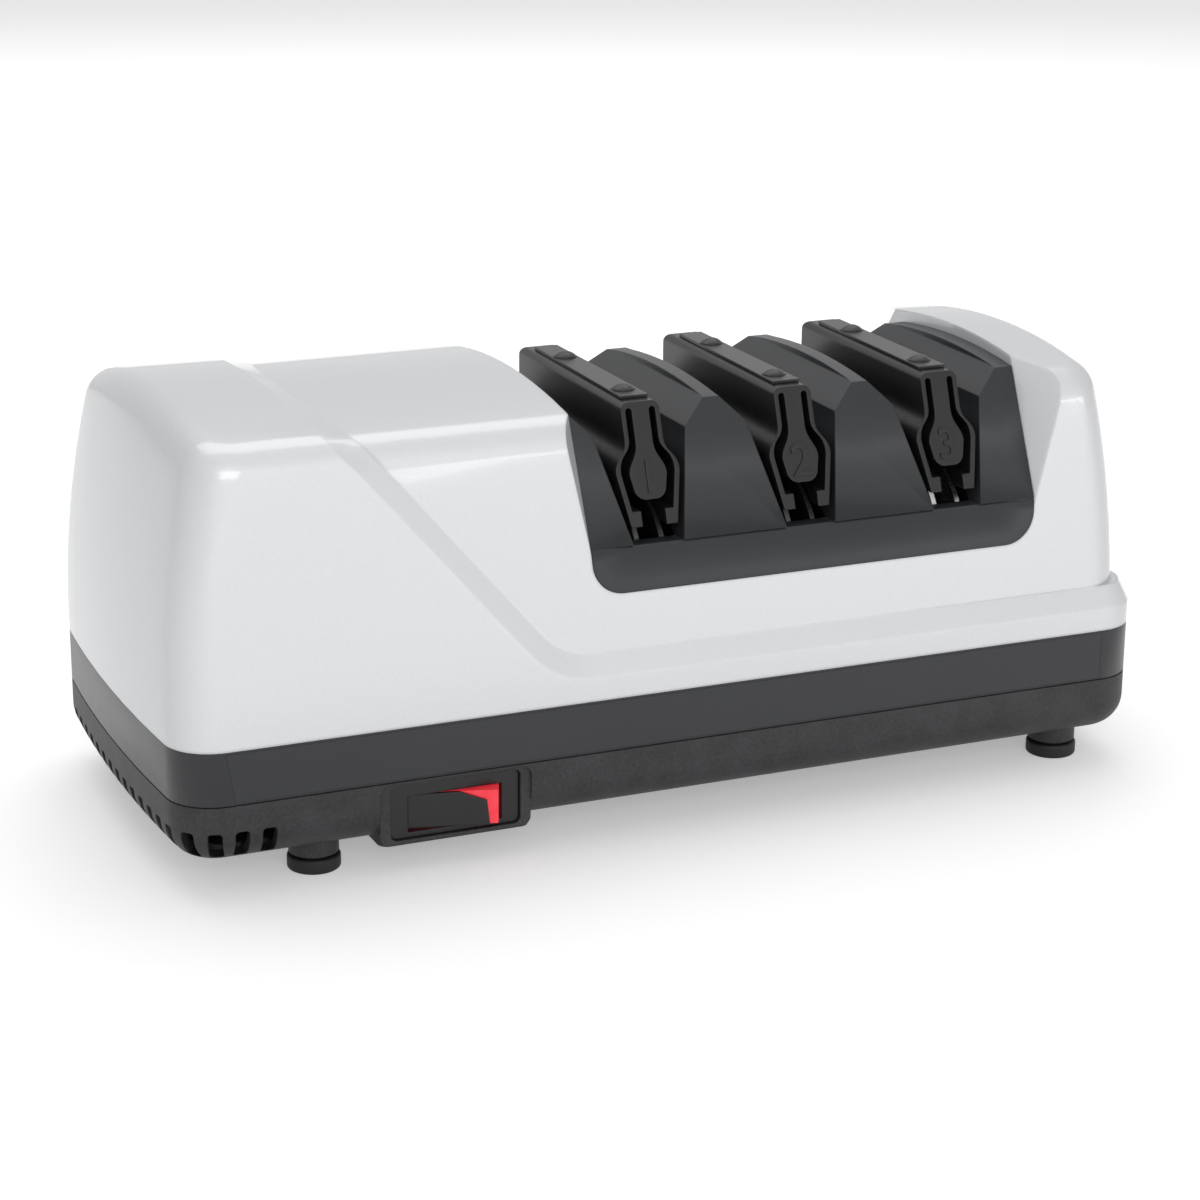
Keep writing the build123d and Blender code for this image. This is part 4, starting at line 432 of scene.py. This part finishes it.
def slope_rocker_cap(shape):
    """Raise the left half of the cap, slope the right half down, and lengthen its right end a little."""
    along = Vector((math.cos(ROCKER_TILT), -math.sin(ROCKER_TILT), 0))
    cut_across(shape, ROCKER_PIVOT + along * SLOPE_START, along)
    top = max(vert.co.z for vert in shape.verts)
    end = max((vert.co - ROCKER_PIVOT).dot(along) for vert in shape.verts)
    for vert in shape.verts:
        reach = (vert.co - ROCKER_PIVOT).dot(along)
        on_top = vert.co.z > top - CAP_EDGE_ZONE
        if on_top:
            share = max(reach - SLOPE_START, 0.0) / (end - SLOPE_START)
            vert.co.z = top + CAP_RISE - SLOPE_DROP * share
        if reach > end - CAP_EDGE_ZONE:
            vert.co += along * CAP_END_REACH[1 if on_top else 0]


# %% [markdown]
# Where the band sits on the tray, its lower edge is broken by a small chamfer, which reads as a thin dark
# line. The ring is cut just above the edge, and the outer points of the edge are drawn in along their own
# normals. The bare plate is pressed into its recess, so its copy is grown until only a hair of a gap is
# left. The module has a fine groove along its front, made by three cuts and a push on the middle one.

# %% Seam under the band, pressed-in plate and groove
SEAM_HEIGHT = 0.40 * MM
SEAM_DEPTH = 0.35 * MM
PLATE_GROWTH = 0.13 * MM
LIP_LINE_Z = 71.2 * MM
LIP_GROOVE_HALF = 0.3 * MM
LIP_GROOVE_DEPTH = 1.0 * MM
LIP_FRONT_REACH = 3.0 * MM
BAND_EDGE_ZONE = 0.05 * MM
TINY = 1e-6


def break_band_edge(shape):
    """A chamfer round the outer lower edge of the band."""
    low = min(vert.co.z for vert in shape.verts)
    cut_across(shape, (0, 0, low + SEAM_HEIGHT), (0, 0, 1))
    shape.normal_update()
    for vert in [v for v in shape.verts if v.co.z < low + BAND_EDGE_ZONE]:
        outward = Vector((vert.normal.x, vert.normal.y, 0))
        if outward.length > TINY and outward.dot(vert.co) > 0:
            vert.co -= outward.normalized() * SEAM_DEPTH


def scribe_module(shape):
    """A fine groove across the front of the module."""
    front = min(vert.co.y for vert in shape.verts)
    for level in (LIP_LINE_Z - LIP_GROOVE_HALF, LIP_LINE_Z, LIP_LINE_Z + LIP_GROOVE_HALF):
        cut_across(shape, (0, 0, level), (0, 0, 1))
    for vert in shape.verts:
        if abs(vert.co.z - LIP_LINE_Z) < TINY and vert.co.y < front + LIP_FRONT_REACH:
            vert.co.y += LIP_GROOVE_DEPTH


def press_plate_in(shape):
    """Grow the bare plate sideways and upwards until it nearly fills its recess."""
    corners = [vert.co.copy() for vert in shape.verts]
    middle = Vector([(min(c[i] for c in corners) + max(c[i] for c in corners)) / 2 for i in range(3)])
    for vert in shape.verts:
        vert.co.x += math.copysign(PLATE_GROWTH, vert.co.x - middle.x)
        vert.co.z += math.copysign(PLATE_GROWTH, vert.co.z - middle.z)


RESHAPED = {"rocker_cap": slope_rocker_cap, "trim_band": break_band_edge, "label_plate": press_plate_in,
            "guide_module": scribe_module}

# %% [markdown]
# ## Which finish each piece has
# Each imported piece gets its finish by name. Loops fill in what repeats from stage to stage and from side to
# side, and the screws, bolts and nuts are found by their names.

# %% Finishes
STAGES = (1, 2, 3)
FINISHES = {
    "upper_housing": pearl_paint, "trim_band": band_abs, "label_plate": plate_abs, "base_tray": base_abs,
    "rubber_feet": foot_rubber, "inlet_bush": foot_rubber, "guide_module": module_abs,
    "guide_pins": guide_acetal, "switch_body": switch_nylon, "rocker_cap": rocker_nylon,
    "rocker_red": red_acrylic,
    "filings_door": base_abs, "dressing_lever": rocker_nylon, "dressing_pad": dressing_stone,
    "filings_magnet": ferrite, "cooling_fan": switch_nylon, "coil_bobbin": white_nylon,
    "motor_coil": copper_wire,
    "motor_stack": lamination_steel, "rotor_core": lamination_steel, "drive_shaft": shaft_steel,
    "drive_pins": shaft_steel, "lever_pin": shaft_steel, "end_bracket": cast_alloy,
    "switch_terminals": tinned_brass,
}
for stage in STAGES:
    FINISHES[f"blade_guide_{stage}"] = guide_acetal
    FINISHES[f"guide_strip_{stage}"] = guide_acetal
    FINISHES[f"disc_spring_{stage}"] = shaft_steel
    for side in ("left", "right"):
        FINISHES[f"disc_{stage}_{side}"] = disc_steel if stage == STAGES[-1] else coated_steel
for side in ("left", "right"):
    FINISHES[f"bearing_bracket_{side}"] = cast_alloy
for place in ("left", "right", "end"):
    FINISHES[f"bush_{place}"] = bush_bronze
for name in nodes:
    if "screws" in name or name in ("motor_bolts", "motor_nuts"):
        FINISHES[name] = zinc_steel

CREASES = {"upper_housing": HOUSING_CREASE_ANGLE}
skins = {name: dress(name, finish, RESHAPED.get(name), CREASES.get(name, CREASE_ANGLE))
         for name, finish in FINISHES.items()}
print(len(skins), "pieces dressed;", "left plain:", sorted(set(nodes) - set(skins)))

# %% [markdown]
# ## The numbers of the stages
# Each guide's bulb carries a raised number, so that the user knows the order of the slots. Text starts as a
# flat curve. It gets a little thickness, becomes a mesh, and only then is it laid on the leaning front
# face.

# %% Raised numbers
GUIDE_TOP_Z = 102.5
GUIDE_LOW_Z = 75.0
GUIDE_FRONT_TOP_Y = -37.0
GUIDE_FRONT_LOW_Y = -47.0
NUMBER_MID_Z = 85.4
NUMBER_HEIGHT = 8.0
NUMBER_RAISE = 0.25
NUMBER_BEVEL = 0.08
CAP_SHARE = 0.72


def stage_number(stage):
    """A raised number on the front of one guide's bulb."""
    low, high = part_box(f"blade_guide_{stage}")
    lean = (GUIDE_FRONT_TOP_Y - GUIDE_FRONT_LOW_Y) / (GUIDE_TOP_Z - GUIDE_LOW_Z)
    mid_y = (GUIDE_FRONT_LOW_Y + lean * (NUMBER_MID_Z - GUIDE_LOW_Z)) * MM
    text = bpy.data.curves.new(f"number_{stage}_text", "FONT")
    text.body = str(stage)
    text.size = NUMBER_HEIGHT / CAP_SHARE * MM
    text.extrude = NUMBER_RAISE * MM
    text.bevel_depth = NUMBER_BEVEL * MM
    text.align_x = "CENTER"
    text.align_y = "CENTER"
    flat = bpy.data.objects.new(f"number_{stage}_flat", text)
    bpy.context.scene.collection.objects.link(flat)
    bpy.context.view_layer.update()
    mesh = bpy.data.meshes.new_from_object(flat.evaluated_get(bpy.context.evaluated_depsgraph_get()))
    bpy.data.objects.remove(flat)
    stand_up = Matrix.Rotation(math.pi / 2 - math.atan(lean), 4, "X")
    where = Matrix.Translation(((low.x + high.x) / 2, mid_y, NUMBER_MID_Z * MM))
    mesh.transform(where @ stand_up)
    mesh.materials.clear()
    mesh.materials.append(guide_acetal)
    number = bpy.data.objects.new(f"number_{stage}", mesh)
    bpy.context.scene.collection.objects.link(number)
    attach(number, "root")
    return number


for stage in STAGES:
    stage_number(stage)

# %% [markdown]
# ## Floor
# The floor is one large pale plane. Its colour takes the shadow, and a little light of its own, seen only
# by the camera and in reflections, lifts it towards the white of the sky.

# %% Floor
FLOOR_HALF = 4.0
FLOOR_GLOW = 0.34
FLOOR_WHITE = 0.90


def pale_floor():
    """A floor that keeps soft shadows and otherwise reads as white."""
    shape = bmesh.new()
    bmesh.ops.create_grid(shape, x_segments=1, y_segments=1, size=FLOOR_HALF)
    mesh = bpy.data.meshes.new("floor")
    shape.to_mesh(mesh)
    shape.free()
    material = bpy.data.materials.new("pale_floor")
    material.use_nodes = True
    tree = material.node_tree
    tree.nodes.clear()
    seen = add_node(tree, "ShaderNodeLightPath")
    eye = add_node(tree, "ShaderNodeMath", {"operation": "MAXIMUM"},
                   links={0: seen.outputs["Is Camera Ray"], 1: seen.outputs["Is Glossy Ray"]})
    glow_level = add_node(tree, "ShaderNodeMath", {"operation": "MULTIPLY"}, {1: FLOOR_GLOW},
                          {0: eye.outputs["Value"]})
    matt = add_node(tree, "ShaderNodeBsdfDiffuse",
                    inputs={"Color": (FLOOR_WHITE, FLOOR_WHITE, FLOOR_WHITE, WHITE_ALPHA)})
    glow = add_node(tree, "ShaderNodeEmission", inputs={"Color": PLAIN_WHITE},
                    links={"Strength": glow_level.outputs["Value"]})
    both = add_node(tree, "ShaderNodeAddShader", links={0: matt.outputs["BSDF"], 1: glow.outputs["Emission"]})
    add_node(tree, "ShaderNodeOutputMaterial", links={"Surface": both.outputs["Shader"]})
    mesh.materials.append(material)
    floor = bpy.data.objects.new("floor", mesh)
    bpy.context.scene.collection.objects.link(floor)
    return floor


pale_floor()

# %% [markdown]
# ## Sky
# A world shader can answer each kind of ray with its own brightness. The camera sees plain white,
# reflections see a little less, and the light that falls on the object is weaker still, so that its shadows
# keep their depth.

# %% Sky
SKY_LIGHT = 0.46
SKY_IN_GLOSS = 0.68


def white_sky():
    """A white background whose light on the object is set apart from how it looks."""
    world = bpy.data.worlds.new("white_sky")
    bpy.context.scene.world = world
    world.use_nodes = True
    tree = world.node_tree
    tree.nodes.clear()
    seen = add_node(tree, "ShaderNodeLightPath")
    glossy = add_node(tree, "ShaderNodeMath", {"operation": "MULTIPLY"}, {1: SKY_IN_GLOSS},
                      {0: seen.outputs["Is Glossy Ray"]})
    eye = add_node(tree, "ShaderNodeMath", {"operation": "MAXIMUM"},
                   links={0: seen.outputs["Is Camera Ray"], 1: seen.outputs["Is Transmission Ray"]})
    either = add_node(tree, "ShaderNodeMath", {"operation": "MAXIMUM"},
                      links={0: eye.outputs["Value"], 1: glossy.outputs["Value"]})
    level = add_node(tree, "ShaderNodeMapRange", inputs={"To Min": SKY_LIGHT, "To Max": 1.0},
                     links={"Value": either.outputs["Value"]})
    sky = add_node(tree, "ShaderNodeBackground", inputs={"Color": PLAIN_WHITE},
                   links={"Strength": level.outputs["Result"]})
    add_node(tree, "ShaderNodeOutputWorld", links={"Surface": sky.outputs["Background"]})


white_sky()

# %% [markdown]
# ## Lamps
# The lamps are large and soft, as in a product studio: one above, one at the front left, a low strip at the
# front right and one at the back. The one at the back is kept out of reflections, where it would burn out the
# top of the painted shell. Places and sizes are in metres.

# %% Lamps
LAMP_TARGET = (0, 0, 0.05)
LAMPS = {
    "top_lamp": {"place": (0.05, 0.35, 1.1), "size": (1.3, 0.8), "watts": 4.6},
    "front_lamp": {"place": (-0.3, -1.3, 0.6), "size": (1.0, 0.5), "watts": 4.5},
    "strip_lamp": {"place": (0.77, -0.92, 0.075), "size": (1.1, 0.13), "watts": 1.5},
    "back_lamp": {"place": (0.4, 1.1, 0.7), "size": (1.2, 0.6), "watts": 3},
}


def soft_lamp(name, place, target, size, watts):
    """A rectangular area lamp at place, facing target."""
    light = bpy.data.lights.new(name, "AREA")
    light.shape = "RECTANGLE"
    light.size = size[0]
    light.size_y = size[1]
    light.energy = watts
    lamp = bpy.data.objects.new(name, light)
    lamp.location = place
    lamp.rotation_euler = (Vector(target) - Vector(place)).to_track_quat("-Z", "Y").to_euler()
    bpy.context.scene.collection.objects.link(lamp)
    return lamp


lamps = {name: soft_lamp(name, target=LAMP_TARGET, **lamp) for name, lamp in LAMPS.items()}
lamps["back_lamp"].visible_glossy = False
print("lamps:", list(lamps))
